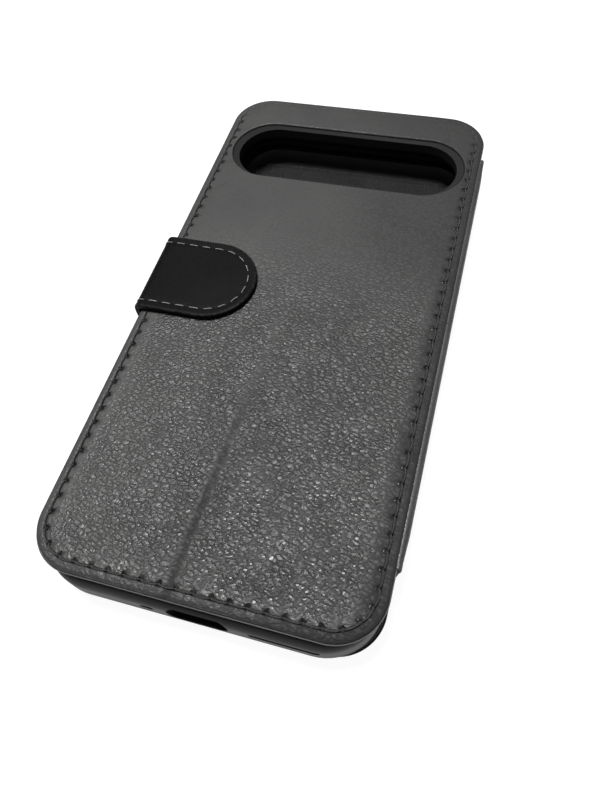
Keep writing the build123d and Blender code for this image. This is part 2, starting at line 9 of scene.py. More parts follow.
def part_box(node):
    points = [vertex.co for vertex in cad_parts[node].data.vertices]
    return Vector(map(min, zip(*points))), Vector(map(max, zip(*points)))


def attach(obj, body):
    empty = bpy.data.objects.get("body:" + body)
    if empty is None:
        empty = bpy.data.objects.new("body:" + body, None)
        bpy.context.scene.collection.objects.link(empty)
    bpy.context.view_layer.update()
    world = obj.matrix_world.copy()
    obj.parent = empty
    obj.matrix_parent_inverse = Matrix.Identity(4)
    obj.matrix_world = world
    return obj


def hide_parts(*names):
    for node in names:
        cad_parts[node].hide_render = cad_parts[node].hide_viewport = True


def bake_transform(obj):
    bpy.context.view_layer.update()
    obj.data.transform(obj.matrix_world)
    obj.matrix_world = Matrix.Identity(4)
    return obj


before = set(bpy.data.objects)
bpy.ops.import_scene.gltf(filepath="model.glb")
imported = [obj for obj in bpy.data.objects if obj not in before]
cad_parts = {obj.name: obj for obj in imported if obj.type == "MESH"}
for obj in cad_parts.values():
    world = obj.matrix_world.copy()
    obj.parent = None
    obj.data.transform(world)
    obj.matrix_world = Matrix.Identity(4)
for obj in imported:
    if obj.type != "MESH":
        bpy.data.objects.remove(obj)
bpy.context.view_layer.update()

# Everything below is written in millimetres in the row frame and scaled once, in make_object.
MM = 0.001
RNG = np.random.default_rng(7)

# ---------------------------------------------------------------------------
# sizes, from the frame
# ---------------------------------------------------------------------------


def box_mm(node):
    lo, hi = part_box(node)
    return np.array(lo) * 1000, np.array(hi) * 1000


blo, bhi = box_mm("back_leather")
PW, PL, TOP = bhi[0] - blo[0], bhi[1] - blo[1], bhi[2]
PR = 11.3
WIN_C, WIN_L, WIN_W = (0.15, 56.15), 70.7, 23.7
STITCH_D = 2.1
slo, shi = box_mm("strap_tip_leather")
STRAP_YC, STRAP_W, STRAP_END = (slo[1] + shi[1]) / 2 + 0.3, shi[1] - slo[1] - 0.6, shi[0]
STRAP_TOP = shi[2]

# ---------------------------------------------------------------------------
# small mesh kit
# ---------------------------------------------------------------------------


class Outline:
    """A closed outline, counter-clockwise: evenly spaced points, outward normals and arc length."""

    def __init__(self, pieces, n):
        pts, nrm = [], []
        lengths = []
        for p in pieces:
            if p[0] == "L":
                lengths.append(math.dist(p[1], p[2]))
            else:
                lengths.append(abs(p[4] - p[3]) * p[2])
        total = sum(lengths)
        cum = np.concatenate([[0], np.cumsum(lengths)])
        for s in np.arange(n) * total / n:
            k = min(int(np.searchsorted(cum, s, side="right") - 1), len(pieces) - 1)
            t = (s - cum[k]) / lengths[k]
            p = pieces[k]
            if p[0] == "L":
                a, b = np.array(p[1], float), np.array(p[2], float)
                pts.append(a + (b - a) * t)
                d = (b - a) / lengths[k]
                nrm.append((d[1], -d[0]))
            else:
                ang = p[3] + (p[4] - p[3]) * t
                c = np.array(p[1], float)
                sign = 1 if p[4] > p[3] else -1
                e = np.array((math.cos(ang), math.sin(ang)))
                pts.append(c + p[2] * e)
                nrm.append(e * sign)
        self.p, self.n, self.L, self.N = np.array(pts), np.array(nrm), total, n
        self.s = np.arange(n) * total / n

    def at(self, s, d=0.0):
        """Points at arc length s, moved inwards by d."""
        s = np.mod(np.asarray(s, float), self.L)
        x = s / self.L * self.N
        i = np.floor(x).astype(int) % self.N
        j = (i + 1) % self.N
        f = (x - np.floor(x))[..., None]
        p = self.p[i] * (1 - f) + self.p[j] * f
        n = self.n[i] * (1 - f) + self.n[j] * f
        n = n / np.linalg.norm(n, axis=-1, keepdims=True)
        return p - n * np.asarray(d, float)[..., None]


def rounded_rect(w, l, r, n, cx=0.0, cy=0.0):
    x0, x1, y0, y1 = cx - w / 2, cx + w / 2, cy - l / 2, cy + l / 2
    h = math.pi / 2
    return Outline(
        [
            ("L", (x0 + r, y0), (x1 - r, y0)),
            ("A", (x1 - r, y0 + r), r, -h, 0),
            ("L", (x1, y0 + r), (x1, y1 - r)),
            ("A", (x1 - r, y1 - r), r, 0, h),
            ("L", (x1 - r, y1), (x0 + r, y1)),
            ("A", (x0 + r, y1 - r), r, h, 2 * h),
            ("L", (x0, y1 - r), (x0, y0 + r)),
            ("A", (x0 + r, y0 + r), r, 2 * h, 3 * h),
        ],
        n,
    )


def pill(l, w, n, cx, cy):
    r, a = w / 2, l / 2 - w / 2
    h = math.pi / 2
    return Outline(
        [
            ("L", (cx - a, cy - r), (cx + a, cy - r)),
            ("A", (cx + a, cy), r, -h, h),
            ("L", (cx + a, cy + r), (cx - a, cy + r)),
            ("A", (cx - a, cy), r, h, 3 * h),
        ],
        n,
    )


def rect_depth(p, w, l, r, cx=0.0, cy=0.0):
    """Depth of points inside a rounded rectangle."""
    q = np.abs(p - (cx, cy)) - (w / 2 - r, l / 2 - r)
    return r - (np.linalg.norm(np.maximum(q, 0), axis=1) + np.minimum(q.max(axis=1), 0))


def pill_out(p, l, w, cx, cy):
    """Distance outside a pill lying along X."""
    x = np.maximum(np.abs(p[:, 0] - cx) - (l / 2 - w / 2), 0)
    return np.hypot(x, p[:, 1] - cy) - w / 2


def poly_depth(loop):
    """A function giving how deep points lie inside a closed loop; negative outside."""
    a, b = loop, np.roll(loop, -1, axis=0)

    def fn(p):
        out = np.empty(len(p))
        for k in range(0, len(p), 2000):
            q = p[k:k + 2000, None, :]
            hit = ((a[:, 1] > q[:, :, 1]) != (b[:, 1] > q[:, :, 1]))
            dy = np.where(np.abs(b[:, 1] - a[:, 1]) < 1e-12, 1e-12, b[:, 1] - a[:, 1])
            x = a[:, 0] + (q[:, :, 1] - a[:, 1]) * (b[:, 0] - a[:, 0]) / dy
            inside = (hit & (q[:, :, 0] < x)).sum(axis=1) % 2 == 1
            ab = b - a
            t = np.clip(((q - a) * ab).sum(axis=2) / np.maximum((ab ** 2).sum(axis=1), 1e-12), 0, 1)
            d = np.linalg.norm(q - (a + ab * t[:, :, None]), axis=2).min(axis=1)
            out[k:k + 2000] = np.where(inside, d, -d)
        return out

    return fn


def waves(p, scale, seed, octaves=3):
    """Smooth repeatable noise, about -1 to 1, from sums of plane waves."""
    r = np.random.default_rng(seed)
    out = np.zeros(len(p))
    amp, k = 1.0, 2 * math.pi / scale
    for _ in range(octaves):
        for _ in range(5):
            a, ph = r.uniform(0, 2 * math.pi, 2)
            kk = k * r.uniform(0.7, 1.4)
            out += amp * np.sin(kk * (p[:, 0] * math.cos(a) + p[:, 1] * math.sin(a)) + ph)
        amp *= 0.5
        k *= 2.1
    return out / 5.5


def smooth(x, a, b):
    t = np.clip((x - a) / (b - a), 0, 1)
    return t * t * (3 - 2 * t)


def make_object(name, verts, faces, attrs=None, angle=50.0, mm=True):
    """A mesh object from points in millimetres, with point attributes."""
    me = bpy.data.meshes.new(name)
    v = np.asarray(verts, float) * (MM if mm else 1.0)
    me.from_pydata(v.tolist(), [], [list(map(int, f)) for f in faces])
    for key, val in (attrs or {}).items():
        val = np.asarray(val, np.float32)
        if val.ndim == 2:
            a = me.attributes.new(key, "FLOAT_VECTOR", "POINT")
            a.data.foreach_set("vector", val.ravel())
        else:
            a = me.attributes.new(key, "FLOAT", "POINT")
            a.data.foreach_set("value", val)
    bm = bmesh.new()
    bm.from_mesh(me)
    bmesh.ops.recalc_face_normals(bm, faces=bm.faces)
    bm.to_mesh(me)
    bm.free()
    me.shade_smooth()
    me.set_sharp_from_angle(angle=math.radians(angle))
    ob = bpy.data.objects.new(name, me)
    bpy.context.scene.collection.objects.link(ob)
    return ob


def fill_region(loops, inside, spacing, jitter=0.18, seed=3):
    """Triangles that fill the region between closed loops of points. loops: list of (n,2) arrays.
    inside(p) gives how deep a point lies in the region. Returns (new points, triangles over loops then new points)."""
    allp = np.concatenate(loops)
    lo, hi = allp.min(0), allp.max(0)
    r = np.random.default_rng(seed)
    dx, dy = spacing, spacing * 0.866
    pts = []
    for j, y in enumerate(np.arange(lo[1], hi[1], dy)):
        xs = np.arange(lo[0] + (j % 2) * dx / 2, hi[0], dx)
        pts.append(np.stack([xs, np.full(len(xs), y)], 1))
    pts = np.concatenate(pts)
    pts = pts + r.uniform(-jitter, jitter, pts.shape) * spacing
    pts = pts[inside(pts) > 0.55 * spacing]
    coords = [Vector((float(a), float(b))) for a, b in np.concatenate([allp, pts])]
    edges, base = [], 0
    for lp in loops:
        n = len(lp)
        edges += [(base + i, base + (i + 1) % n) for i in range(n)]
        base += n
    out = delaunay_2d_cdt(coords, edges, [], 0, 1e-7, True)
    ov, of, orig = out[0], out[2], out[3]
    # map output vertices back to the input order
    back = [o[0] if len(o) else -1 for o in orig]
    tri = np.array([[back[i] for i in f] for f in of if len(f) == 3])
    tri = tri[(tri >= 0).all(axis=1)]
    every = np.concatenate([allp, pts])
    if len(loops) == 1:
        every = every.astype(np.float32).astype(float)
        keep = poly_depth(every[:len(allp)])(every[tri].mean(axis=1)) > 0
    else:
        keep = inside(every[tri].mean(axis=1)) > -1e-4
    return pts, tri[keep]


def slab(name, outer, profile, holes, depth_fn, top, bot, spacing_top, spacing_bot,
         attr_fn=None, mapping=None, angle=50.0, seed=3, jitter=0.18):
    """A closed sheet. outer is an Outline; profile lists its rings from the inner ring of the underside,
    round the edge, to the inner ring of the top, as (d, kind, value): z = bot + value for 'b', top + value for 't',
    and a share of the way up for 'm'. holes: list of (Outline, profile), d then measured away from the hole.
    depth_fn(p, db, dh) is how deep p lies in the region left when outer has rings to db and the holes to dh."""
    verts, flat, faces = [], [], []
    ring_at = []          # (first index of underside ring, of top ring, n, d_under, d_top)
    info = []             # per vertex: distance to edge
    for which, (ol, prof) in enumerate([(outer, profile)] + list(holes)):
        sign = 1.0 if which == 0 else -1.0
        rings, arc = [], []
        for d, kind, val in prof:
            p = ol.p - ol.n * (sign * d)
            if kind == "b":
                z = bot(p, d) + val
            elif kind == "t":
                z = top(p, d if which == 0 else None, d if which else None) + val
            else:
                zb, zt = bot(p, d), top(p, d if which == 0 else None, d if which else None)
                z = zb + (zt - zb) * val
            rings.append(np.column_stack([p, z]))
        # unrolled coordinate: arc length from the top inner ring outwards
        steps = [np.hypot(prof[k][0] - prof[k + 1][0], float(np.mean(rings[k][:, 2] - rings[k + 1][:, 2])))
                 for k in range(len(prof) - 1)]
        unroll = np.zeros(len(prof))
        for k in range(len(prof) - 2, -1, -1):
            unroll[k] = unroll[k + 1] + steps[k]
        base = sum(len(v) for v in verts)
        n = ol.N
        for k, r in enumerate(rings):
            verts.append(r)
            dd = prof[-1][0] - unroll[k]
            f = ol.p - ol.n * (sign * dd)
            flat.append(np.column_stack([f, np.zeros(n)]))
            info.append(np.full(n, dd))
        for k in range(len(rings) - 1):
            a = base + k * n + np.arange(n)
            b = base + k * n + (np.arange(n) + 1) % n
            q = np.column_stack([a, b, b + n, a + n])
            faces += q.tolist() if which == 0 else q[:, ::-1].tolist()
        ring_at.append((base, base + (len(rings) - 1) * n, n, prof[0][0], prof[-1][0]))
    nv = sum(len(v) for v in verts)
    for side in (0, 1):
        loops, index = [], []
        for (bi, ti, n, db, dt) in ring_at:
            start = ti if side else bi
            allv = np.concatenate(verts)[start:start + n, :2]
            loops.append(allv)
            index.append(np.arange(start, start + n))
        dd = [r[4] if side else r[3] for r in ring_at]
        inside = lambda p: depth_fn(p, dd[0], dd[1] if len(dd) > 1 else 0.0)
        pts, tri = fill_region(loops, inside, spacing_top if side else spacing_bot, jitter, seed + side)
        index = np.concatenate(index + [nv + np.arange(len(pts))])
        if len(pts):
            z = top(pts, None, None) if side else bot(pts, 9.0)
            verts.append(np.column_stack([pts, z]))
            flat.append(np.column_stack([pts, np.zeros(len(pts))]))
            info.append(np.full(len(pts), 9.0))
            nv += len(pts)
        t = index[tri]
        faces += t.tolist() if side else t[:, ::-1].tolist()
    verts, flat, info = np.concatenate(verts), np.concatenate(flat), np.concatenate(info)
    attrs = {"flat_mm": flat, "edge": np.clip(1 - np.abs(info) / 0.9, 0, 1) * (info < 8)}
    attrs["grain"] = np.ones(len(verts))
    if attr_fn:
        attrs.update(attr_fn(verts, flat, info))
    if mapping:
        verts = mapping(verts)
    return make_object(name, verts, faces, attrs, angle)


def bisect_flat(ob, axis, value, keep_low, new_name=None):
    """Cuts an object in millimetre space by a plane, closing the cut."""
    bm = bmesh.new()
    bm.from_mesh(ob.data)
    co = [0, 0, 0]
    co[axis] = value * MM
    no = [0, 0, 0]
    no[axis] = 1
    geom = bm.verts[:] + bm.edges[:] + bm.faces[:]
    r = bmesh.ops.bisect_plane(bm, geom=geom, plane_co=co, plane_no=no,
                               clear_outer=keep_low, clear_inner=not keep_low, dist=1e-9)
    cut = [e for e in r["geom_cut"] if isinstance(e, bmesh.types.BMEdge)]
    bmesh.ops.holes_fill(bm, edges=cut, sides=0)
    me = bpy.data.meshes.new(new_name or ob.name)
    bm.to_mesh(me)
    bm.free()
    out = bpy.data.objects.new(new_name or ob.name, me)
    bpy.context.scene.collection.objects.link(out)
    return out


class Path:
    """A smooth path in the XZ plane with arc length; at(u) gives a point, and the normal to its left."""

    def __init__(self, pts, rounds=4):
        p = np.array(pts, float)
        for _ in range(rounds):
            a, b = p[:-1], p[1:]
            q = np.empty((2 * len(a), 2))
            q[0::2], q[1::2] = a * 0.75 + b * 0.25, a * 0.25 + b * 0.75
            p = np.concatenate([[p[0]], q, [p[-1]]])
        keep = np.concatenate([[True], np.linalg.norm(np.diff(p, axis=0), axis=1) > 1e-6])
        self.p = p[keep]
        seg = np.diff(self.p, axis=0)
        self.s = np.concatenate([[0], np.cumsum(np.linalg.norm(seg, axis=1))])
        self.L = self.s[-1]
        t = np.gradient(self.p, self.s, axis=0)
        t /= np.linalg.norm(t, axis=1, keepdims=True)
        self.n = np.column_stack([-t[:, 1], t[:, 0]])

    def at(self, u):
        x, z = np.interp(u, self.s, self.p[:, 0]), np.interp(u, self.s, self.p[:, 1])
        nx, nz = np.interp(u, self.s, self.n[:, 0]), np.interp(u, self.s, self.n[:, 1])
        k = np.hypot(nx, nz)
        return x, z, nx / k, nz / k


def tubes(name, paths, radius, sides=8, attrs_extra=None):
    """Closed tubes, one along each path of 3D points in millimetres. radius may be an array along the path."""
    verts, faces, flat = [], [], []
    base = 0
    for k, path in enumerate(paths):
        p = np.asarray(path, float)
        n = len(p)
        t = np.gradient(p, axis=0)
        t /= np.linalg.norm(t, axis=1, keepdims=True)
        up = np.array([0.0, 0.0, 1.0])
        s = np.concatenate([[0], np.cumsum(np.linalg.norm(np.diff(p, axis=0), axis=1))])
        rr = radius(s / s[-1]) if callable(radius) else np.full(n, radius)
        x = np.cross(t, up)
        bad = np.linalg.norm(x, axis=1) < 1e-3
        x[bad] = (1, 0, 0)
        x /= np.linalg.norm(x, axis=1, keepdims=True)
        y = np.cross(x, t)
        for i in range(n):
            for j in range(sides):
                a = 2 * math.pi * j / sides
                verts.append(p[i] + rr[i] * (math.cos(a) * x[i] + math.sin(a) * y[i]))
                flat.append((s[i], a, k * 0.37))
        for i in range(n - 1):
            for j in range(sides):
                a, b = base + i * sides + j, base + i * sides + (j + 1) % sides
                faces.append((a, b, b + sides, a + sides))
        faces.append([base + j for j in range(sides)][::-1])
        faces.append([base + (n - 1) * sides + j for j in range(sides)])
        base += n * sides
    return make_object(name, np.array(verts), faces, {"flat_mm": np.array(flat)}, 80)


# ---------------------------------------------------------------------------
# materials
# ---------------------------------------------------------------------------


def rgb(r, g, b):
    return (r, g, b, 1.0)


class Nodes:
    def __init__(self, name):
        self.mat = bpy.data.materials.new(name)
        self.mat.use_nodes = True
        self.t = self.mat.node_tree
        self.b = self.t.nodes["Principled BSDF"]

    def add(self, kind, inputs=None, **props):
        n = self.t.nodes.new(kind)
        for k, v in props.items():
            setattr(n, k, v)
        for k, v in (inputs or {}).items():
            sock = n.inputs[k]
            if isinstance(v, bpy.types.NodeSocket):
                self.t.links.new(v, sock)
            else:
                sock.default_value = v
        return n

    def math(self, op, a, b=None, c=None, clamp=False):
        n = self.t.nodes.new("ShaderNodeMath")
        n.operation, n.use_clamp = op, clamp
        for i, v in enumerate((a, b, c)):
            if v is None:
                continue
            if isinstance(v, bpy.types.NodeSocket):
                self.t.links.new(v, n.inputs[i])
            else:
                n.inputs[i].default_value = v
        return n.outputs[0]

    def ramp(self, x, lo, hi, a=0.0, b=1.0, kind="SMOOTHSTEP"):
        n = self.add("ShaderNodeMapRange", {"Value": x, "From Min": lo, "From Max": hi, "To Min": a, "To Max": b},
                     interpolation_type=kind)
        return n.outputs[0]

    def mix(self, fac, a, b):
        n = self.t.nodes.new("ShaderNodeMix")
        n.data_type = "RGBA"
        for i, v in ((0, fac), (6, a), (7, b)):
            if isinstance(v, bpy.types.NodeSocket):
                self.t.links.new(v, n.inputs[i])
            else:
                n.inputs[i].default_value = v
        return n.outputs[2]

    def attr(self, name, out="Fac"):
        return self.add("ShaderNodeAttribute", attribute_name=name).outputs[out]

    def scaled(self, vec, x, y=None, z=None):
        n = self.add("ShaderNodeVectorMath", operation="MULTIPLY")
        self.t.links.new(vec, n.inputs[0])
        n.inputs[1].default_value = (x, x if y is None else y, x if z is None else z)
        return n.outputs[0]

    def turned(self, vec, angle, sx, sy):
        """vec turned about Z, then scaled."""
        n = self.add("ShaderNodeVectorRotate", {"Angle": angle}, rotation_type="Z_AXIS")
        self.t.links.new(vec, n.inputs["Vector"])
        return self.scaled(n.outputs[0], sx, sy, 1.0)

    def noise(self, vec, scale, detail=2.0, rough=0.5, out="Fac"):
        return self.add("ShaderNodeTexNoise", {"Vector": vec, "Scale": scale, "Detail": detail, "Roughness": rough}).outputs[out]

    def voronoi(self, vec, scale, feature="DISTANCE_TO_EDGE", out="Distance", rnd=1.0):
        n = self.add("ShaderNodeTexVoronoi", feature=feature)
        self.t.links.new(vec, n.inputs["Vector"])
        n.inputs["Scale"].default_value = scale
        n.inputs["Randomness"].default_value = rnd
        return n.outputs[out]

    def link(self, out, name):
        self.t.links.new(out, self.b.inputs[name])


def leather(name, dark, light, cell=0.95, depth=0.00010, rough=(0.40, 0.62), border=0.55, wear_and_highlight=0.35,
            spec=0.5, coat=0.0, fine=0.5):
    """Pebble-grained synthetic leather. Grain cells in mm; attributes: flat_mm, grain, edge."""
    m = Nodes(name)
    flat = m.attr("flat_mm", "Vector")
    grain = m.attr("grain")
    edge = m.attr("edge")
    # the cells wander, as an embossing roller's do
    fold, pit = m.attr("fold"), m.attr("pit")
    w = m.noise(flat, 0.55, 2.0, 0.5, "Color")
    off = m.add("ShaderNodeVectorMath", operation="SUBTRACT")
    m.t.links.new(w, off.inputs[0]); off.inputs[1].default_value = (0.5, 0.5, 0.5)
    offs = m.scaled(off.outputs[0], 0.5 * cell)
    warped = m.add("ShaderNodeVectorMath", operation="ADD")
    m.t.links.new(flat, warped.inputs[0]); m.t.links.new(offs, warped.inputs[1])
    v1 = m.voronoi(m.turned(warped.outputs[0], 0.24, 0.56, 1.0), 1.0 / cell, rnd=0.95)
    v2 = m.voronoi(m.turned(warped.outputs[0], -0.55, 0.60, 1.0), 1.0 / (cell * 0.72), rnd=0.95)
    h1 = m.ramp(v1, 0.0, 0.24)
    h2 = m.ramp(v2, 0.0, 0.26)
    n1 = m.noise(flat, 3.0, 2.0, 0.5)
    size = m.ramp(m.noise(flat, 0.10, 2.0), 0.35, 0.65, 0.85, 1.0)
    hh = m.math("ADD", m.math("MULTIPLY", h1, 0.52), m.math("MULTIPLY", h2, 0.36))
    hh = m.math("ADD", hh, m.math("MULTIPLY", n1, 0.15 * fine))
    gs = m.math("MULTIPLY", grain, size)
    h = m.math("MULTIPLY", hh, gs)
    bump = m.add("ShaderNodeBump", {"Strength": 1.0, "Distance": depth, "Height": h})
    m.link(bump.outputs[0], "Normal")
    # colour: faint cloudy change; painted shade, darker in the grain valleys; paler edges, partly worn and partly a
    # painted highlight
    cloud = m.ramp(m.noise(flat, 0.045, 3.0, 0.6), 0.3, 0.7)
    base = m.mix(cloud, rgb(*dark), rgb(*light))
    # painted shade colour, used in the grain valleys and along the crease, rim and camera end
    shade_colour = tuple(c * 0.12 for c in dark)
    valley_shade = m.math("SUBTRACT", 1.0, m.math("MULTIPLY", m.ramp(v1, 0.0, 0.17), m.ramp(v2, -0.06, 0.14)))
    valley_shade = m.math("MULTIPLY", valley_shade, gs, clamp=True)
    base = m.mix(m.math("MULTIPLY", valley_shade, 0.95), base, rgb(*shade_colour))
    # paler edges: partly rubbed wear, partly a painted highlight along the edge
    edge_rub_and_highlight = m.math("MULTIPLY", edge, m.ramp(m.noise(flat, 0.9, 3.0, 0.65), 0.35, 0.75), clamp=True)
    worn_and_highlit = tuple(min(1, c * 3.2 + 0.015) for c in light)
    base = m.mix(m.math("MULTIPLY", edge_rub_and_highlight, wear_and_highlight), base, rgb(*worn_and_highlit))
    # painted shade: darker along the stand crease, the border over the rim and towards the camera end
    base = m.mix(m.math("MULTIPLY", fold, 0.80), base, rgb(*shade_colour))
    # painted shade in the needle holes and along the sewing groove
    base = m.mix(m.math("MULTIPLY", pit, 1.0, clamp=True), base, rgb(0.0006, 0.0006, 0.0006))
    m.link(base, "Base Color")
    smear = m.ramp(m.noise(flat, 0.09, 4.0, 0.65), 0.35, 0.7, -0.05, 0.06)
    r = m.ramp(hh, 0.1, 0.9, rough[1], rough[0], "LINEAR")
    r = m.math("ADD", r, m.math("MULTIPLY", m.math("ADD", fold, pit), 0.26))
    m.link(m.math("ADD", r, smear, clamp=True), "Roughness")
    m.b.inputs["Specular IOR Level"].default_value = spec
    if coat:
        m.b.inputs["Coat Weight"].default_value = coat
        m.b.inputs["Coat Roughness"].default_value = 0.35
    return m.mat


def thread_mat(name, dark, light, twist=2.6):
    m = Nodes(name)
    flat = m.attr("flat_mm", "Vector")
    sep = m.add("ShaderNodeSeparateXYZ", {"Vector": flat})
    ph = m.math("ADD", m.math("MULTIPLY", sep.outputs[0], twist * 2 * math.pi), m.math("MULTIPLY", sep.outputs[1], 3.0))
    ply = m.ramp(m.math("SINE", ph), -1, 1, 0, 1, "LINEAR")
    fuzz = m.noise(flat, 6.0, 3.0, 0.7)
    h = m.math("ADD", ply, m.math("MULTIPLY", fuzz, 0.5))
    bump = m.add("ShaderNodeBump", {"Strength": 0.9, "Distance": 0.00006, "Height": h})
    m.link(bump.outputs[0], "Normal")
    m.link(m.mix(ply, rgb(*dark), rgb(*light)), "Base Color")
    m.link(m.ramp(fuzz, 0.3, 0.7, 0.45, 0.7), "Roughness")
    m.b.inputs["Sheen Weight"].default_value = 0.15
    m.b.inputs["Sheen Roughness"].default_value = 0.5
    return m.mat


def fabric_mat(name, dark, light, nap=0.00004):
    """Short-napped microfibre."""
    m = Nodes(name)
    flat = m.attr("flat_mm", "Vector")
    edge = m.attr("edge")
    fibres = m.noise(m.scaled(flat, 7.0, 2.2, 5.0), 1.0, 4.0, 0.7)
    nap2 = m.noise(flat, 0.12, 3.0, 0.6)
    h = m.math("ADD", fibres, m.math("MULTIPLY", m.noise(flat, 11.0, 2.0), 0.5))
    bump = m.add("ShaderNodeBump", {"Strength": 0.8, "Distance": nap, "Height": h})
    m.link(bump.outputs[0], "Normal")
    base = m.mix(m.ramp(nap2, 0.3, 0.7), rgb(*dark), rgb(*light))
    base = m.mix(m.math("MULTIPLY", fibres, 0.5), base, rgb(*[c * 1.7 for c in light]))
    # cut edges paler: partly the fibre ends' own tone, partly a painted highlight line
    cut = tuple(min(1.0, c * 5 + 0.10) for c in light)
    base = m.mix(m.math("MULTIPLY", edge, 0.55), base, rgb(*cut))
    m.link(base, "Base Color")
    m.link(m.ramp(fibres, 0.3, 0.7, 0.78, 0.95), "Roughness")
    m.b.inputs["Sheen Weight"].default_value = 0.10
    m.b.inputs["Sheen Roughness"].default_value = 0.5
    m.b.inputs["Specular IOR Level"].default_value = 0.25
    return m.mat


def plastic_mat(name, dark, light, rough=0.45, spec=0.20):
    """Moulded soft plastic: fine spark-eroded texture, faint flow marks, rubbed and dusty patches."""
    m = Nodes(name)
    co = m.add("ShaderNodeTexCoord").outputs["Object"]
    mm = m.scaled(co, 1000.0)
    fine = m.noise(mm, 7.0, 3.0, 0.6)
    flow = m.noise(m.scaled(mm, 0.05, 0.012, 0.3), 1.0, 3.0, 0.6)
    dust = m.ramp(m.noise(mm, 0.8, 6.0, 0.75), 0.62, 0.8)
    bump = m.add("ShaderNodeBump", {"Strength": 0.5, "Distance": 0.00003, "Height": fine})
    m.link(bump.outputs[0], "Normal")
    base = m.mix(flow, rgb(*dark), rgb(*light))
    base = m.mix(m.math("MULTIPLY", dust, 0.25), base, rgb(0.12, 0.12, 0.115))
    m.link(base, "Base Color")
    r = m.math("ADD", m.ramp(fine, 0.3, 0.7, rough, rough + 0.12), m.math("MULTIPLY", dust, 0.2))
    m.link(m.math("ADD", r, m.ramp(flow, 0.3, 0.7, -0.04, 0.05), clamp=True), "Roughness")
    m.b.inputs["Specular IOR Level"].default_value = spec
    return m.mat


def board_mat(name):
    m = Nodes(name)
    co = m.add("ShaderNodeTexCoord").outputs["Object"]
    mm = m.scaled(co, 1000.0)
    fib = m.noise(m.scaled(mm, 3.0, 0.7, 3.0), 1.0, 5.0, 0.7)
    fleck = m.ramp(m.noise(mm, 2.2, 2.0), 0.62, 0.7)
    base = m.mix(fib, rgb(0.20, 0.19, 0.17), rgb(0.34, 0.32, 0.29))
    base = m.mix(fleck, base, rgb(0.09, 0.09, 0.10))
    m.link(base, "Base Color")
    bump = m.add("ShaderNodeBump", {"Strength": 0.5, "Distance": 0.00004, "Height": fib})
    m.link(bump.outputs[0], "Normal")
    m.link(m.ramp(fib, 0.3, 0.7, 0.85, 0.95), "Roughness")
    return m.mat


def glue_mat(name):
    m = Nodes(name)
    co = m.add("ShaderNodeTexCoord").outputs["Object"]
    mm = m.scaled(co, 1000.0)
    blot = m.noise(mm, 0.3, 4.0, 0.6)
    m.link(m.mix(blot, rgb(0.30, 0.29, 0.25), rgb(0.45, 0.44, 0.40)), "Base Color")
    m.link(m.ramp(blot, 0.3, 0.7, 0.2, 0.45), "Roughness")
    bump = m.add("ShaderNodeBump", {"Strength": 0.4, "Distance": 0.00005, "Height": blot})
    m.link(bump.outputs[0], "Normal")
    return m.mat


def steel_mat(name):
    m = Nodes(name)
    co = m.add("ShaderNodeTexCoord").outputs["Object"]
    mm = m.scaled(co, 1000.0)
    brush = m.noise(m.scaled(mm, 0.4, 14.0, 14.0), 1.0, 4.0, 0.6)
    m.link(m.mix(brush, rgb(0.42, 0.42, 0.43), rgb(0.62, 0.62, 0.63)), "Base Color")
    m.b.inputs["Metallic"].default_value = 1.0
    m.link(m.ramp(brush, 0.3, 0.7, 0.22, 0.42), "Roughness")
    bump = m.add("ShaderNodeBump", {"Strength": 0.3, "Distance": 0.00002, "Height": brush})
    m.link(bump.outputs[0], "Normal")
    return m.mat


M_COVER = leather("cover_leather", (0.027, 0.0270, 0.0266), (0.040, 0.0396, 0.0382), cell=1.02, depth=0.00023, rough=(0.40, 0.62), wear_and_highlight=0.10, spec=0.50)
M_STRAP = leather("strap_leather", (0.0016, 0.0015, 0.0018), (0.0024, 0.0023, 0.0027), cell=0.45, depth=0.000018,
                  rough=(0.55, 0.65), wear_and_highlight=1.0, spec=0.09)
M_POCKET = leather("pocket_leather", (0.0080, 0.0082, 0.0092), (0.0120, 0.0123, 0.0136), cell=0.55, depth=0.00005, rough=(0.48, 0.62), wear_and_highlight=0.9, spec=0.22)
M_LINING = fabric_mat("lining", (0.0085, 0.0087, 0.0096), (0.0150, 0.0153, 0.0168))
M_TRAY = plastic_mat("tray_plastic", (0.0075, 0.0073, 0.0073), (0.0110, 0.0106, 0.0104))
M_THREAD = thread_mat("thread", (0.003, 0.003, 0.003), (0.012, 0.012, 0.012))
M_STRAP_THREAD = thread_mat("strap_thread", (0.10, 0.10, 0.098), (0.21, 0.21, 0.205))
M_BOARD, M_GLUE, M_STEEL = board_mat("board"), glue_mat("adhesive"), steel_mat("steel")


def finish_piece(ob, mat, slot, body=None, replaces=()):
    ob.data.materials.clear()
    ob.data.materials.append(mat)
    if body:
        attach(ob, body)
    if replaces:
        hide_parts(*replaces)
    return ob


# ---------------------------------------------------------------------------
# leather panels: back and front
# ---------------------------------------------------------------------------

N_OUT = 1760
panel = rounded_rect(PW, PL, PR, N_OUT)
PITCH = 3.9
N_ST = int(round((panel.L - 2 * math.pi * STITCH_D) / PITCH))


def hole_positions(phase):
    """Needle holes, evenly spaced along the sewing line, as arc lengths on the outline."""
    # arc length on the inner line, mapped to the outline's own arc length
    line = panel.at(panel.s, np.full(panel.N, STITCH_D + 0.30))
    seg = np.linalg.norm(np.roll(line, -1, axis=0) - line, axis=1)
    cum = np.concatenate([[0], np.cumsum(seg)])
    want = (np.arange(N_ST) + phase) / N_ST * cum[-1]
    want = want + np.random.default_rng(11).uniform(-0.10, 0.10, N_ST)
    s = np.interp(want, cum, np.concatenate([panel.s, [panel.L]]))
    return s


CREASE_Y = np.array([-82.0, -72, -60, -50, -40, -32, -15, 0, 12, 30])
CREASE_X = np.array([-5.1, -4.75, -4.3, -3.9, -3.4, -3.0, -2.3, -1.7, -1.3, -1.0])
CREASE_D = np.array([0.46, 0.50, 0.46, 0.42, 0.36, 0.28, 0.15, 0.07, 0.0, 0.0])


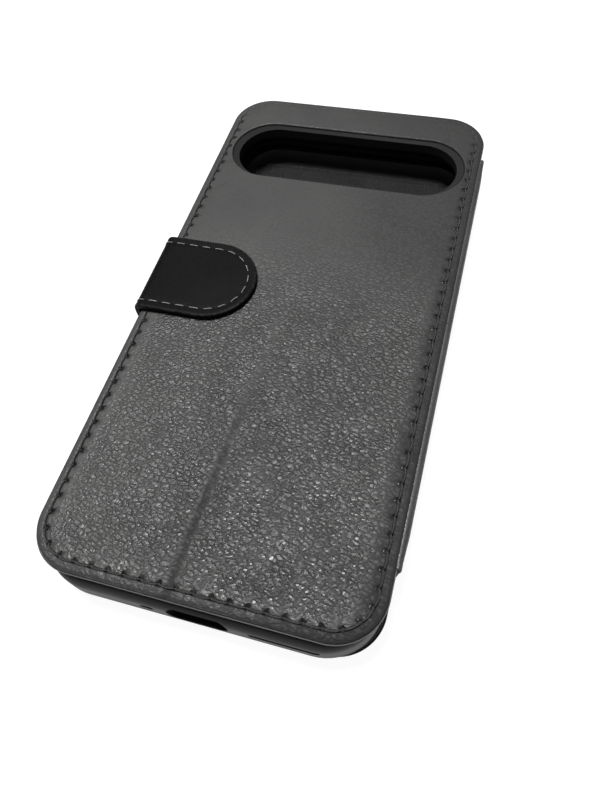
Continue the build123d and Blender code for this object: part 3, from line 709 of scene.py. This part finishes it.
def panel_top(holes_s, phase_seed, back):
    hp = panel.at(holes_s, np.full(len(holes_s), STITCH_D + 0.42))

    def top(p, d_out=None, d_win=None):
        d = rect_depth(p, PW, PL, PR) if d_out is None else np.full(len(p), float(d_out))
        z = np.zeros(len(p))
        # rolled edge
        q = np.clip(d / 0.72, 0, 1)
        z -= 0.62 * (1 - np.sqrt(np.clip(1 - (1 - q) ** 2, 0, 1)))
        # the border lies a touch lower than the padded middle; the seam draws a groove between them
        z -= 0.05 * (1 - smooth(d, 1.9, 3.2)) + 0.30 * np.clip(1 - d / 2.0, 0, 1) ** 1.7
        sunk = 1 - 0.93 * smooth(p[:, 1], 66, 74) if back else 1.0
        z -= 0.24 * sunk * np.exp(-((d - STITCH_D) / 0.28) ** 2)
        z += 0.04 * smooth(d, 2.3, 4.0)
        # shallow pillow towards the seam, more on the spine side
        z -= (0.14 + 0.16 * smooth(p[:, 0], 20, 34)) * (1 - smooth(d, 1.6, 8.5))
        if back:
            w = pill_out(p, WIN_L, WIN_W, *WIN_C) if d_win is None else np.full(len(p), float(d_win))
            q = np.clip(w / 0.40, 0, 1)
            z -= 0.40 * (1 - np.sqrt(np.clip(1 - (1 - q) ** 2, 0, 1)))
            near_win = 1 - smooth(w, 0.5, 5.0)
            z -= 0.06 * near_win
            # stand crease
            cx = np.interp(p[:, 1], CREASE_Y, CREASE_X)
            cd = np.interp(p[:, 1], CREASE_Y, CREASE_D)
            dx = p[:, 0] - cx + 0.25 * waves(p * (0, 1), 16, 5, 2)
            wid = np.where(dx < 0, 1.25, 1.55)
            z -= 0.55 * cd * np.exp(-(dx / wid) ** 2)
            z += 0.10 * cd * (np.exp(-((dx + 3.4) / 1.9) ** 2) + np.exp(-((dx - 4.4) / 2.3) ** 2))
            # fine wrinkles lying in the fold, and the bunched leather at its foot
            z += 0.018 * cd / 0.4 * np.exp(-(dx / 1.8) ** 2) * np.sin(dx * 4.2 + 1.3 * waves(p, 9, 21, 2))
            z += 0.13 * np.exp(-((p[:, 0] + 8.3) / 1.9) ** 2 - ((p[:, 1] + 76.4) / 1.1) ** 2)
            z += 0.10 * np.exp(-((p[:, 0] + 1.6) / 1.8) ** 2 - ((p[:, 1] + 76.0) / 1.3) ** 2)
        # the board's slow unevenness and shallow pillow
        z += 0.030 * waves(p, 60, 31 + phase_seed, 1) * smooth(d, 2.5, 9)
        z += 0.004 * waves(p, 9, 41 + phase_seed, 2) * smooth(d, 2.2, 5)
        # needle holes and the puckers they draw
        near = (d > 0.7) & (d < 4.2)
        if near.any():
            pn = p[near]
            best = np.full(len(pn), 1e9)
            for k in range(0, len(hp), 8):
                dist = np.linalg.norm(pn[:, None, :] - hp[None, k:k + 8], axis=2).min(axis=1)
                best = np.minimum(best, dist)
            k = sunk[near] if back else 1.0
            z[near] -= k * (1.05 * np.exp(-(best / 0.52) ** 4) + 0.07 * np.exp(-(best / 0.95) ** 2))
        return TOP + z

    return top


RING_T = [0.0, 0.015, 0.05, 0.10, 0.17, 0.26, 0.37, 0.50, 0.66, 0.84, 1.04, 1.25, 1.45, 1.62, 1.77, 1.90, 2.02,
          2.13, 2.24, 2.35, 2.46, 2.58, 2.70]
UNDER = 15.36


def edge_profile(thick):
    lo = [(2.2, "b", 0.0), (0.9, "b", 0.0), (0.40, "b", 0.02), (0.16, "b", 0.10), (0.04, "b", 0.24), (0.0, "b", 0.40)]
    return lo + [(d, "t", 0.0) for d in RING_T]


def panel_attrs(back, holes_s):
    hp = panel.at(holes_s, np.full(len(holes_s), STITCH_D + 0.42))

    def fn(v, flat, info):
        d = rect_depth(v[:, :2], PW, PL, PR)
        g = np.ones(len(v))
        side = smooth(v[:, 1], -77.2, -70)
        g *= 1 - (0.40 + 0.40 * side) * (1 - smooth(d, 2.6, 5.0 + 3 * side))
        near = np.where((d > 0.9) & (d < 4.0) & (v[:, 2] > UNDER + 0.2))[0]
        best = np.full(len(v), 9.0)
        for k in range(0, len(hp), 8):
            dist = np.linalg.norm(v[near, None, :2] - hp[None, k:k + 8], axis=2).min(axis=1)
            best[near] = np.minimum(best[near], dist)
        # painted shade: the needle holes are painted near black and the sewing groove is darkened
        pit = np.maximum(np.exp(-(best / 0.60) ** 4), 0.45 * np.exp(-((d - STITCH_D) / 0.20) ** 2) * (v[:, 2] > UNDER + 0.2))
        if back:
            pit *= 1 - 0.95 * smooth(v[:, 1], 66, 74)
        fold = np.zeros(len(v))
        # grain is pressed flatter where the leather is pulled round the board's edge
        if back:
            w = pill_out(v[:, :2], WIN_L, WIN_W, *WIN_C)
            g *= 0.35 + 0.65 * smooth(w, 0.5, 9.0)
            cx = np.interp(v[:, 1], CREASE_Y, CREASE_X)
            cd = np.interp(v[:, 1], CREASE_Y, CREASE_D)
            # the crease mask; it also paints shade into the crease valley
            fold = np.clip(cd / 0.42, 0, 1) * np.exp(-((v[:, 0] - cx - 0.1) / 1.25) ** 4) * (d > 0.3)
            g *= 1 - 0.92 * fold
            g *= 0.05 + 0.95 * smooth(-v[:, 1], -26, 12)
            g *= 0.70 + 0.30 * smooth(v[:, 0], -36, 2)
        # painted shade: the colour is darkened, and the leather made duller, along the border over the rim, in the
        # bottom corner on the spine side, and towards the camera end
        right = smooth(v[:, 0], 0, 30)
        fold = np.maximum(fold, (0.40 + 0.60 * right) * (1 - smooth(d, 1.7, 2.3)))
        fold = np.maximum(fold, 0.95 * smooth(v[:, 0], 31.5, 36) * smooth(-v[:, 1], -74, -66) * smooth(v[:, 1], -78, -70))
        up = smooth(v[:, 1], -16, 26)
        fold = np.maximum(fold, up * (0.36 + 0.50 * smooth(v[:, 0], -22, 36)))
        e = np.clip(1 - np.abs(d - 0.15) / 0.75, 0, 1)
        if back:
            e = np.maximum(e, 0.3 * np.clip(1 - np.abs(w - 0.1) / 0.4, 0, 1))
        return {"grain": g, "edge": e, "pit": pit, "fold": fold}
    return fn


win = pill(WIN_L, WIN_W, 560, *WIN_C)
win_prof = [(0.70, "b", 0.0), (0.35, "b", 0.0), (0.10, "b", 0.05), (0.0, "b", 0.25)] + [
    (d, "t", 0.0) for d in (0.0, 0.01, 0.03, 0.07, 0.12, 0.19, 0.28, 0.41, 0.70)]


def depth_back(p, db, dh):
    return np.minimum(rect_depth(p, PW, PL, PR) - db, pill_out(p, WIN_L, WIN_W, *WIN_C) - dh)


HOLES_BACK = hole_positions(0.35)
back_top = panel_top(HOLES_BACK, 0, True)
back_skin = slab("back_cover_leather", panel, edge_profile(1.4), [(win, win_prof)], depth_back, back_top,
                 lambda p, d: np.full(len(p), UNDER), 0.8, 4.0, panel_attrs(True, HOLES_BACK), seed=5)
finish_piece(back_skin, M_COVER, "cover_leather", "back", ("back_leather",))

HOLES_FRONT = hole_positions(0.6)
front_top = panel_top(HOLES_FRONT, 3, False)


def flip(v):
    v = v.copy()
    v[:, 2] = TOP - v[:, 2] + 0.05
    return v


front_skin = slab("front_cover_leather", panel, edge_profile(1.4), [], lambda p, db, dh: rect_depth(p, PW, PL, PR) - db,
                  front_top, lambda p, d: np.full(len(p), TOP - 1.72), 1.2, 5.0, panel_attrs(False, HOLES_FRONT), mapping=flip, seed=9)
finish_piece(front_skin, M_COVER, "cover_leather", "front_cover", ("front_leather",))


def stitch_paths(holes_s, top, mapping=None, r=0.17):
    paths = []
    n = len(holes_s)
    rr = np.random.default_rng(17)
    for i in range(n):
        s0, s1 = holes_s[i], holes_s[(i + 1) % n]
        if s1 < s0:
            s1 += panel.L
        t = np.concatenate([[0.0, 0.025, 0.06], np.linspace(0.11, 0.89, 7), [0.94, 0.975, 1.0]])
        k = np.clip(np.sin(math.pi * t), 0, 1) ** 0.45
        d = STITCH_D + 0.42 - (0.46 + rr.uniform(-0.05, 0.05)) * k
        p = panel.at(s0 + (s1 - s0) * t, d)
        lie = TOP - 0.26 + r + rr.uniform(-0.02, 0.03)
        z = lie - 0.55 * (1 - np.clip(np.sin(math.pi * t) * 3.2, 0, 1) ** 0.6)
        if mapping is None:
            z = z - 0.24 * smooth(p[:, 1], 66, 74)
        q = np.column_stack([p, z])
        paths.append(mapping(q) if mapping else q)
    return paths


back_thread = tubes("back_thread", stitch_paths(HOLES_BACK, back_top), lambda t: 0.17 * (1 - 0.35 * np.abs(2 * t - 1) ** 6), 8)
finish_piece(back_thread, M_THREAD, "thread", "back", ("back_stitching",))
front_thread = tubes("front_thread", stitch_paths(HOLES_FRONT, front_top, flip), lambda t: 0.17 * (1 - 0.35 * np.abs(2 * t - 1) ** 6), 8)
finish_piece(front_thread, M_THREAD, "thread", "front_cover", ("front_stitching",))

# ---------------------------------------------------------------------------
# linings
# ---------------------------------------------------------------------------


def lining(name, inset, z0, z1, window, spacing=2.5, wav=0.04, seed=51):
    ol = rounded_rect(PW - 2 * inset, PL - 2 * inset, PR - inset, 900)
    h = z1 - z0
    prof = [(2.0, "b", 0.0), (0.5, "b", 0.0), (0.14, "b", 0.03), (0.0, "b", 0.45 * h)] + [
        (0.0, "t", -0.32 * h), (0.10, "t", -0.05), (0.3, "t", 0.0), (0.9, "t", 0.0), (2.0, "t", 0.0)]
    holes = []
    if window:
        wl = pill(WIN_L + 0.7, WIN_W + 0.7, 420, *WIN_C)
        holes = [(wl, [(0.8, "b", 0.0), (0.12, "b", 0.03), (0.0, "b", 0.45 * h), (0.0, "t", -0.32 * h), (0.10, "t", -0.05), (0.8, "t", 0.0)])]
    def top(p, a=None, b=None):
        return z1 + wav * waves(p, 30, seed, 2)
    def depth(p, db, dh):
        out = rect_depth(p, PW - 2 * inset, PL - 2 * inset, PR - inset) - db
        return np.minimum(out, pill_out(p, WIN_L + 0.7, WIN_W + 0.7, *WIN_C) - dh) if window else out
    return slab(name, ol, prof, holes, depth, top, lambda p, d: np.full(len(p), z0), spacing, 5.0, seed=seed)


back_lin = lining("back_panel_lining", -0.30, 14.90, 15.28, True, wav=0.01)
finish_piece(back_lin, M_LINING, "lining", "back", ("back_lining",))
front_lin = lining("front_panel_lining", 0.45, 1.84, 2.26, False, wav=0.02, seed=57)
finish_piece(front_lin, M_LINING, "lining", "front_cover", ("front_lining",))

# ---------------------------------------------------------------------------
# strap
# ---------------------------------------------------------------------------

R_D = STRAP_W / 2
Z_MID = 17.86
strap_path = Path([(STRAP_END, Z_MID), (-20, Z_MID), (-30, Z_MID), (-37.0, Z_MID - 0.02), (-39.85, Z_MID - 0.06), (-40.12, 15.6),
                   (-40.14, 11.0), (-40.14, 7.0), (-40.14, 3.4), (-40.05, 1.35), (-38.6, 1.32), (-36.5, 1.32), (-33.5, 1.32)], 4)
SL = strap_path.L
h = math.pi / 2
# flat coordinates: x = -u, from the round end at x = 0 to the sewn-in root at x = -SL
strap_outline = Outline(
    [
        ("L", (-SL + 3.6, -R_D), (-R_D, -R_D)),
        ("A", (-R_D, 0.0), R_D, -h, h),
        ("L", (-R_D, R_D), (-SL + 3.6, R_D)),
        ("A", (-SL + 3.6, R_D - 3.6), 3.6, h, 2 * h),
        ("L", (-SL, R_D - 3.6), (-SL, -R_D + 3.6)),
        ("A", (-SL + 3.6, -R_D + 3.6), 3.6, 2 * h, 3 * h),
    ],
    900,
)


def strap_depth(p, db, dh=0):
    x, y = p[:, 0], np.abs(p[:, 1])
    body = np.where(x > -R_D, R_D - np.hypot(x + R_D, y), R_D - y)
    q = np.column_stack([-(x + SL) + 3.6, y - (R_D - 3.6)])
    tail = 3.6 - np.where((q > 0).all(axis=1), np.linalg.norm(np.maximum(q, 0), axis=1), q.max(axis=1))
    return np.minimum(body, tail) - db


ST_D, ST_PITCH = 2.3, 3.6
n_st = int((2 * (SL - 5.0 - R_D) + math.pi * (R_D - ST_D)) / ST_PITCH)


def strap_line(t, d):
    """Sewing line, as a distance t from one root, round the end, to the other root."""
    a = SL - 5.0 - R_D
    b = math.pi * (R_D - ST_D)
    t = np.asarray(t, float)
    x = np.where(t < a, -SL + 5.0 + t, np.where(t < a + b, -R_D + (R_D - d) * np.cos(-h + (t - a) / (R_D - ST_D)), -R_D - (t - a - b)))
    y = np.where(t < a, -(R_D - d), np.where(t < a + b, (R_D - d) * np.sin(-h + (t - a) / (R_D - ST_D)), R_D - d))
    return np.column_stack([x, y])


ST_TOTAL = 2 * (SL - 5.0 - R_D) + math.pi * (R_D - ST_D)
st_t = np.linspace(0.5, ST_TOTAL - 0.5, n_st) + np.random.default_rng(5).uniform(-0.12, 0.12, n_st)


def strap_top(p, d_out=None, d_win=None):
    d = strap_depth(p, 0.0) if d_out is None else np.full(len(p), float(d_out))
    z = np.full(len(p), 0.80)
    q = np.clip(d / 0.50, 0, 1)
    z -= 0.42 * (1 - np.sqrt(np.clip(1 - (1 - q) ** 2, 0, 1)))
    z += 0.05 * np.exp(-((d - 0.75) / 0.35) ** 2)
    z -= 0.10 * np.exp(-((d - ST_D) / 0.45) ** 2)
    z += 0.03 * waves(p, 18, 61, 2)
    z += 0.05 * (1 - smooth(np.hypot(p[:, 0] + 11.6, p[:, 1]), 4.2, 6.6))
    return z


strap_prof = [(2.0, "b", 0.0), (0.5, "b", 0.0), (0.15, "b", 0.05), (0.02, "b", 0.20), (0.0, "b", 0.50), (0.10, "b", 0.62), (0.10, "b", 0.66),
              (-0.02, "b", 0.80)] + [(d, "t", 0.0) for d in (0.0, 0.01, 0.03, 0.07, 0.13, 0.21, 0.31, 0.43, 0.6, 0.8, 1.05, 1.3, 1.6, 1.85,
                                                              2.1, 2.3, 2.5, 2.75, 3.0)]


def strap_thickness(u):
    # full at the tip, thinner down the side, thinnest where it is sewn in
    return np.interp(u, [0, 24, 31, 34, 43, 47, 60], [1.0, 1.0, 0.92, 0.80, 0.78, 0.50, 0.48])


def strap_map(v):
    u = -v[:, 0]
    x, z, nx, nz = strap_path.at(u)
    k = strap_thickness(u)
    w = v[:, 2] * k
    # the path runs from the tip towards -X, so its left-hand normal points inwards
    return np.column_stack([x - nx * w, v[:, 1] + STRAP_YC, z - nz * w])


# the strap's edge mask gives its pale top rim: partly wear, partly a painted highlight
strap_flat = slab("strap_flat", strap_outline, strap_prof, [], lambda p, db, dh: strap_depth(p, db),
                  strap_top, lambda p, d: np.full(len(p), -0.78), 0.9, 2.0,
                  lambda v, f, i: {"grain": np.ones(len(v)),
                                   "edge": np.clip(1 - np.abs(strap_depth(v[:, :2], 0.0) - 0.25) / 0.45, 0, 1) * (v[:, 2] > 0)},
                  seed=13, jitter=0.0)
U_MID = float(np.interp(9.0, strap_path.p[::-1, 1][strap_path.p[::-1, 0] < -40.05], strap_path.s[::-1][strap_path.p[::-1, 0] < -40.05]))


def remap(ob, fn):
    co = np.empty(len(ob.data.vertices) * 3)
    ob.data.vertices.foreach_get("co", co)
    v = fn(co.reshape(-1, 3) * 1000.0) * MM
    ob.data.vertices.foreach_set("co", v.astype(np.float32).ravel())
    bm = bmesh.new()
    bm.from_mesh(ob.data)
    bmesh.ops.recalc_face_normals(bm, faces=bm.faces)
    bm.to_mesh(ob.data)
    bm.free()
    ob.data.shade_smooth()
    ob.data.set_sharp_from_angle(angle=math.radians(55))


tip = bisect_flat(strap_flat, 0, -U_MID, False, "strap_end_leather")
root = bisect_flat(strap_flat, 0, -U_MID, True, "strap_root_leather")
bpy.data.objects.remove(strap_flat)
for ob in (tip, root):
    remap(ob, strap_map)


def strap_stitches(name, t0, t1):
    paths = []
    for i in range(len(st_t) - 1):
        a, b = st_t[i], st_t[i + 1]
        mid = (a + b) / 2
        if not (t0(strap_line([mid], ST_D)[0, 0])):
            continue
        a, b = a + 0.62, b - 0.62
        t = np.linspace(a, b, 9)
        k = np.clip(np.sin(math.pi * (t - a) / (b - a)), 0, 1) ** 0.35
        p = strap_line(t, ST_D)
        u = -p[:, 0]
        z = 0.70 + 0.13 * k - 0.16 * (1 - k)
        paths.append(strap_map(np.column_stack([p, z / 1.0])))
    return tubes(name, paths, lambda t: 0.135 * (1 - 0.45 * np.abs(2 * t - 1) ** 4), 8)


tip_thread = strap_stitches("strap_end_thread", lambda x: x > -U_MID + 0.8, None)
root_thread = strap_stitches("strap_root_thread", lambda x: x < -U_MID - 0.8, None)

Z_TIP_HINGE, Z_ROOT_HINGE = 17.7, 0.9
for ob, mat, sl, rep in ((tip, M_STRAP, "strap_leather", ("strap_tip_leather", "strap_tip_lining")),
                         (tip_thread, M_STRAP_THREAD, "strap_thread", ("strap_tip_stitching",))):
    finish_piece(ob, mat, sl, None, rep)
    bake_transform(ob)
for ob, mat, sl, rep in ((root, M_STRAP, "strap_leather", ("strap_side_leather", "strap_side_lining", "strap_anchor")),
                         (root_thread, M_STRAP_THREAD, "strap_thread", ("strap_side_stitching",))):
    finish_piece(ob, mat, sl, None, rep)
    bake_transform(ob)

# ---------------------------------------------------------------------------
# spine
# ---------------------------------------------------------------------------

spine_path = Path([(35.6, 15.11), (37.2, 15.11), (38.6, 15.10), (39.3, 15.20), (39.80, 15.28), (40.22, 14.8), (40.30, 13.6), (40.10, 11.5),
                   (39.55, 8.4), (39.15, 6.5), (38.80, 5.0), (38.68, 3.6), (38.72, 2.5), (38.4, 2.05), (37.8, 2.04), (37.2, 2.05), (35.6, 2.05)], 4)
SPL = spine_path.L
SP_Y0, SP_Y1 = -62.6, 63.6
sp_w, sp_l = SPL, SP_Y1 - SP_Y0
spine_outline = rounded_rect(sp_w, sp_l, 5.5, 900, sp_w / 2, (SP_Y0 + SP_Y1) / 2)


def spine_depth(p, db, dh=0):
    return rect_depth(p, sp_w, sp_l, 5.5, sp_w / 2, (SP_Y0 + SP_Y1) / 2) - db


def spine_top(p, a=None, b=None):
    d = spine_depth(p, 0.0) if a is None else np.full(len(p), float(a))
    q = np.clip(d / 0.35, 0, 1)
    z = 0.5 - 0.30 * (1 - np.sqrt(np.clip(1 - (1 - q) ** 2, 0, 1)))
    # slack leather: slow waves along the spine and a few cross wrinkles near its folds
    u, y = p[:, 0], p[:, 1]
    mid = smooth(u, 4.5, 8) * (1 - smooth(u, SPL - 8, SPL - 4.5))
    z += 0.05 * mid * waves(p * (0.4, 1.0), 34, 71, 1)
    z += 0.010 * waves(p * (2.5, 1.0), 9, 73, 2) * mid
    return z


def spine_thickness(u):
    t = np.interp(u, [0, 2.6, 4.2, SPL - 4.2, SPL - 2.6, SPL], [0.42, 0.45, 0.9, 0.9, 0.45, 0.42])
    return t


def spine_map(v):
    u = v[:, 0]
    x, z, nx, nz = spine_path.at(u)
    w = v[:, 2] * spine_thickness(u)
    # drawn in towards the tray at both ends
    end = 1 - smooth(np.minimum(v[:, 1] - SP_Y0, SP_Y1 - v[:, 1]), 0.0, 9.0)
    x = x - 0.75 * end * smooth(u, 4.0, 7.0) * (1 - smooth(u, SPL - 7.0, SPL - 4.0))
    return np.column_stack([x + nx * w, v[:, 1], z + nz * w])


spine_prof = [(1.5, "b", 0.0), (0.4, "b", 0.0), (0.1, "b", 0.06), (0.0, "b", 0.35)] + [(d, "t", 0.0) for d in (0.0, 0.01, 0.04, 0.09, 0.16, 0.25, 0.36, 0.6, 1.0, 1.5)]
# the spine's edge mask lightens its two fold crests: a painted highlight
spine_flat = slab("spine_flat", spine_outline, spine_prof, [], lambda p, db, dh: spine_depth(p, db), spine_top,
                  lambda p, d: np.full(len(p), -0.45), 0.7, 0.9,
                  lambda v, f, i: {"grain": 0.15 + 0.45 * smooth(v[:, 0], 5.0, 7.5) * (1 - smooth(v[:, 0], SPL - 7.5, SPL - 5.0)),
                                   "edge": np.maximum(np.clip(1 - np.abs(v[:, 0] - 4.55) / 0.5, 0, 1), np.clip(1 - np.abs(v[:, 0] - (SPL - 4.55)) / 0.5, 0, 1)) * (v[:, 2] > 0)},
                  seed=23, jitter=0.0)
U_SP = SPL / 2
upper = bisect_flat(spine_flat, 0, U_SP, True, "spine_leather_back_half")
lower = bisect_flat(spine_flat, 0, U_SP, False, "spine_leather_front_half")
bpy.data.objects.remove(spine_flat)
for ob in (upper, lower):
    remap(ob, spine_map)
finish_piece(upper, M_COVER, "cover_leather", None, ("spine_leather", "spine_lining"))
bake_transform(upper)
finish_piece(lower, M_COVER, "cover_leather", None)
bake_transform(lower)

# ---------------------------------------------------------------------------
# pockets inside the front cover
# ---------------------------------------------------------------------------


def pocket(name, x0, x1, y0, y1, z0, z1, notch, body, node, seed):
    """A leather pocket panel: folded mouth with a thumb notch, sewn sides and foot."""
    xc, w = (x0 + x1) / 2, x1 - x0
    r = 1.6
    pts = []
    n = 700
    per = 2 * (w + (y1 - y0))
    if notch:
        # mouth edge with a smooth thumb dip, walked counter-clockwise
        def dip(x):
            t = np.clip(1 - ((x - xc) / 10.5) ** 2, 0, 1)
            return 4.0 * t * t
    else:
        def dip(x):
            return np.zeros_like(x)
    def corner(cx, cy, a0, a1, k=10):
        a = np.linspace(a0, a1, k, endpoint=False)
        return np.column_stack([cx + r * np.cos(a), cy + r * np.sin(a)])
    hp = math.pi / 2
    xs = np.linspace(x1 - r, x0 + r, 160)
    loop = np.concatenate([
        np.column_stack([np.linspace(x0 + r, x1 - r, 100, endpoint=False), np.full(100, y0)]),
        corner(x1 - r, y0 + r, -hp, 0),
        np.column_stack([np.full(150, x1), np.linspace(y0 + r, y1 - r, 150, endpoint=False)]),
        corner(x1 - r, y1 - r, 0, hp),
        np.column_stack([xs, y1 - dip(xs)])[:-1],
        corner(x0 + r, y1 - r, hp, 2 * hp),
        np.column_stack([np.full(150, x0), np.linspace(y1 - r, y0 + r, 150, endpoint=False)]),
        corner(x0 + r, y0 + r, 2 * hp, 3 * hp),
    ])
    ol = Outline.__new__(Outline)
    ol.p, ol.N = loop, len(loop)
    t = np.roll(loop, -1, axis=0) - np.roll(loop, 1, axis=0)
    t /= np.linalg.norm(t, axis=1, keepdims=True)
    ol.n = np.column_stack([t[:, 1], -t[:, 0]])
    seg = np.linalg.norm(np.roll(loop, -1, axis=0) - loop, axis=1)
    ol.s, ol.L = np.concatenate([[0], np.cumsum(seg)])[:-1], seg.sum()
    hgt = z1 - z0
    def top(p, a=None, b=None):
        d_m = y1 - dip(p[:, 0]) - p[:, 1]
        d_s = np.minimum(np.minimum(p[:, 0] - x0, x1 - p[:, 0]), p[:, 1] - y0)
        z = np.full(len(p), z1)
        z += 0.035 * np.exp(-((d_m - 0.9) / 0.6) ** 2)                 # folded mouth
        z -= 0.05 * np.exp(-((d_m - 2.2) / 0.25) ** 2)                 # creased line below the mouth
        z -= 0.06 * np.exp(-((d_s - 1.5) / 0.35) ** 2)                 # seam
        z += 0.03 * smooth(d_s, 2, 12) * smooth(d_m, 1, 8)
        z += 0.012 * waves(p, 22, seed, 2)
        return z
    prof = [(0.9, "b", 0.0), (0.3, "b", 0.0), (0.05, "b", 0.03), (0.0, "b", 0.4 * hgt), (0.0, "t", -0.3 * hgt), (0.06, "t", -0.04),
            (0.18, "t", 0.0), (0.4, "t", 0.0), (0.9, "t", 0.0)]
    ob = slab(name, ol, prof, [], lambda p, db, dh: poly_depth(ol.p - ol.n * db)(p), top, lambda p, d: np.full(len(p), z0), 1.5, 4.0, seed=seed)
    finish_piece(ob, M_POCKET, "pocket_leather", body, (node,))
    return ob


pocket_thread_paths = []


def pocket_seam(points, z):
    """Stitches along a polyline on a pocket."""
    p = np.array(points, float)
    seg = np.linalg.norm(np.diff(p, axis=0), axis=1)
    cum = np.concatenate([[0], np.cumsum(seg)])
    n = max(2, int(cum[-1] / 2.9))
    marks = np.linspace(0, cum[-1], n + 1)
    for a, b in zip(marks[:-1], marks[1:]):
        t = np.linspace(a + 0.25, b - 0.25, 7)
        q = np.column_stack([np.interp(t, cum, p[:, 0]), np.interp(t, cum, p[:, 1])])
        k = np.clip(np.sin(math.pi * (t - t[0]) / (t[-1] - t[0])), 0, 1) ** 0.4
        pocket_thread_paths.append(np.column_stack([q, z - 0.11 + 0.13 * k]))


pockets = []
for name, node, notch in (("cash_pocket_panel", "cash_pocket", False), ("card_pocket_upper", "card_pocket_3", True),
                          ("card_pocket_middle", "card_pocket_2", True), ("card_pocket_lower", "card_pocket_1", True)):
    lo, hi = box_mm(node)
    # the seam line and mouth stand a little proud, so the sheet itself stays just inside its CAD solid
    pockets.append(pocket(name, lo[0], hi[0], lo[1], hi[1], lo[2] + 0.01, hi[2] - 0.02, notch, "front_cover", node, 81 + len(pockets)))
    top_z = hi[2] - 0.02
    below = {"cash_pocket": box_mm("card_pocket_3")[1][1] + 1, "card_pocket_3": box_mm("card_pocket_2")[1][1] + 1,
             "card_pocket_2": box_mm("card_pocket_1")[1][1] + 1, "card_pocket_1": None}[node]
    if below is None:
        pocket_seam([(lo[0] + 1.5, hi[1] - 2), (lo[0] + 1.5, lo[1] + 1.5), (hi[0] - 1.5, lo[1] + 1.5), (hi[0] - 1.5, hi[1] - 2)], top_z)
    else:
        pocket_seam([(lo[0] + 1.5, hi[1] - 2), (lo[0] + 1.5, below)], top_z)
        if node != "cash_pocket":
            pocket_seam([(hi[0] - 1.5, hi[1] - 2), (hi[0] - 1.5, below)], top_z)
pocket_thread = tubes("pocket_thread", pocket_thread_paths, lambda t: 0.12 * (1 - 0.4 * np.abs(2 * t - 1) ** 4), 6)
finish_piece(pocket_thread, M_THREAD, "thread", "front_cover", ("pocket_stitching",))

# ---------------------------------------------------------------------------
# CAD nodes that keep their shape
# ---------------------------------------------------------------------------

for node, mat, sl in (("phone_tray", M_TRAY, "tray_plastic"), ("back_board_strap_side", M_BOARD, "board"), ("back_board_spine_side", M_BOARD, "board"),
                      ("back_board_top", M_BOARD, "board"), ("front_board", M_BOARD, "board"), ("tray_adhesive", M_GLUE, "adhesive"),
                      ("back_clasp_plate", M_STEEL, "steel"), ("strap_magnet", M_STEEL, "steel")):
    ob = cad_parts[node]
    ob.data.materials.clear()
    ob.data.materials.append(mat)

# boards, magnet and plate are sealed inside the leather pieces, and stay as they are in CAD

# ---------------------------------------------------------------------------
# floor, light, camera
# ---------------------------------------------------------------------------

bpy.ops.mesh.primitive_plane_add(size=6.0, location=(0, 0, -0.0002))
floor = bpy.context.object
floor.name = "floor"
fm = bpy.data.materials.new("floor_white")
fm.use_nodes = True
fb = fm.node_tree.nodes["Principled BSDF"]
fb.inputs["Base Color"].default_value = (0.16, 0.16, 0.16, 1)
fb.inputs["Roughness"].default_value = 0.9
fb.inputs["Specular IOR Level"].default_value = 0.1
fb.inputs["Emission Color"].default_value = (1, 1, 1, 1)
fb.inputs["Emission Strength"].default_value = 0.94
floor.data.materials.append(fm)

world = bpy.data.worlds.new("studio")
bpy.context.scene.world = world
world.use_nodes = True
bg = world.node_tree.nodes["Background"]
bg.inputs["Color"].default_value = (1.0, 1.0, 1.0, 1)
bg.inputs["Strength"].default_value = 0.13


def area(name, loc, target, size, power, size_y=None):
    d = bpy.data.lights.new(name, "AREA")
    d.shape = "RECTANGLE" if size_y else "SQUARE"
    d.size = size
    if size_y:
        d.size_y = size_y
    d.energy = power
    o = bpy.data.objects.new(name, d)
    bpy.context.scene.collection.objects.link(o)
    o.location = loc
    o.rotation_euler = (Vector(target) - Vector(loc)).to_track_quat("-Z", "Y").to_euler()
    return o


area("soft_near", (-0.065, 0.05, 0.62), (0.005, -0.05, 0.0), 0.18, 6.8, 0.20)
area("soft_mid", (-0.135, 0.36, 0.60), (0.0, 0.0, 0.0), 0.13, 0.15, 0.26)
area("soft_far", (0.0, 0.95, 0.50), (0, 0, 0), 0.5, 0.35, 0.25)

cam_data = bpy.data.cameras.new("camera")
cam_data.sensor_width = 36.0
cam_data.lens = 657.39 * 36.0 / 800.0
cam_data.clip_start = 0.005
cam = bpy.data.objects.new("camera", cam_data)
bpy.context.scene.collection.objects.link(cam)
right = Vector((0.96023756, 0.2673041, -0.08057514))
up = -Vector((0.19009825, -0.83737804, -0.51250432))
back_v = -Vector((-0.20446636, 0.4768087, -0.85489588))
cam.matrix_world = Matrix((
    (right.x, up.x, back_v.x, 0.04131),
    (right.y, up.y, back_v.y, -0.10259),
    (right.z, up.z, back_v.z, 0.13243 + TOP * MM),
    (0, 0, 0, 1),
))
bpy.context.scene.camera = cam
bpy.context.scene.view_settings.view_transform = "Standard"
bpy.context.scene.view_settings.look = "None"
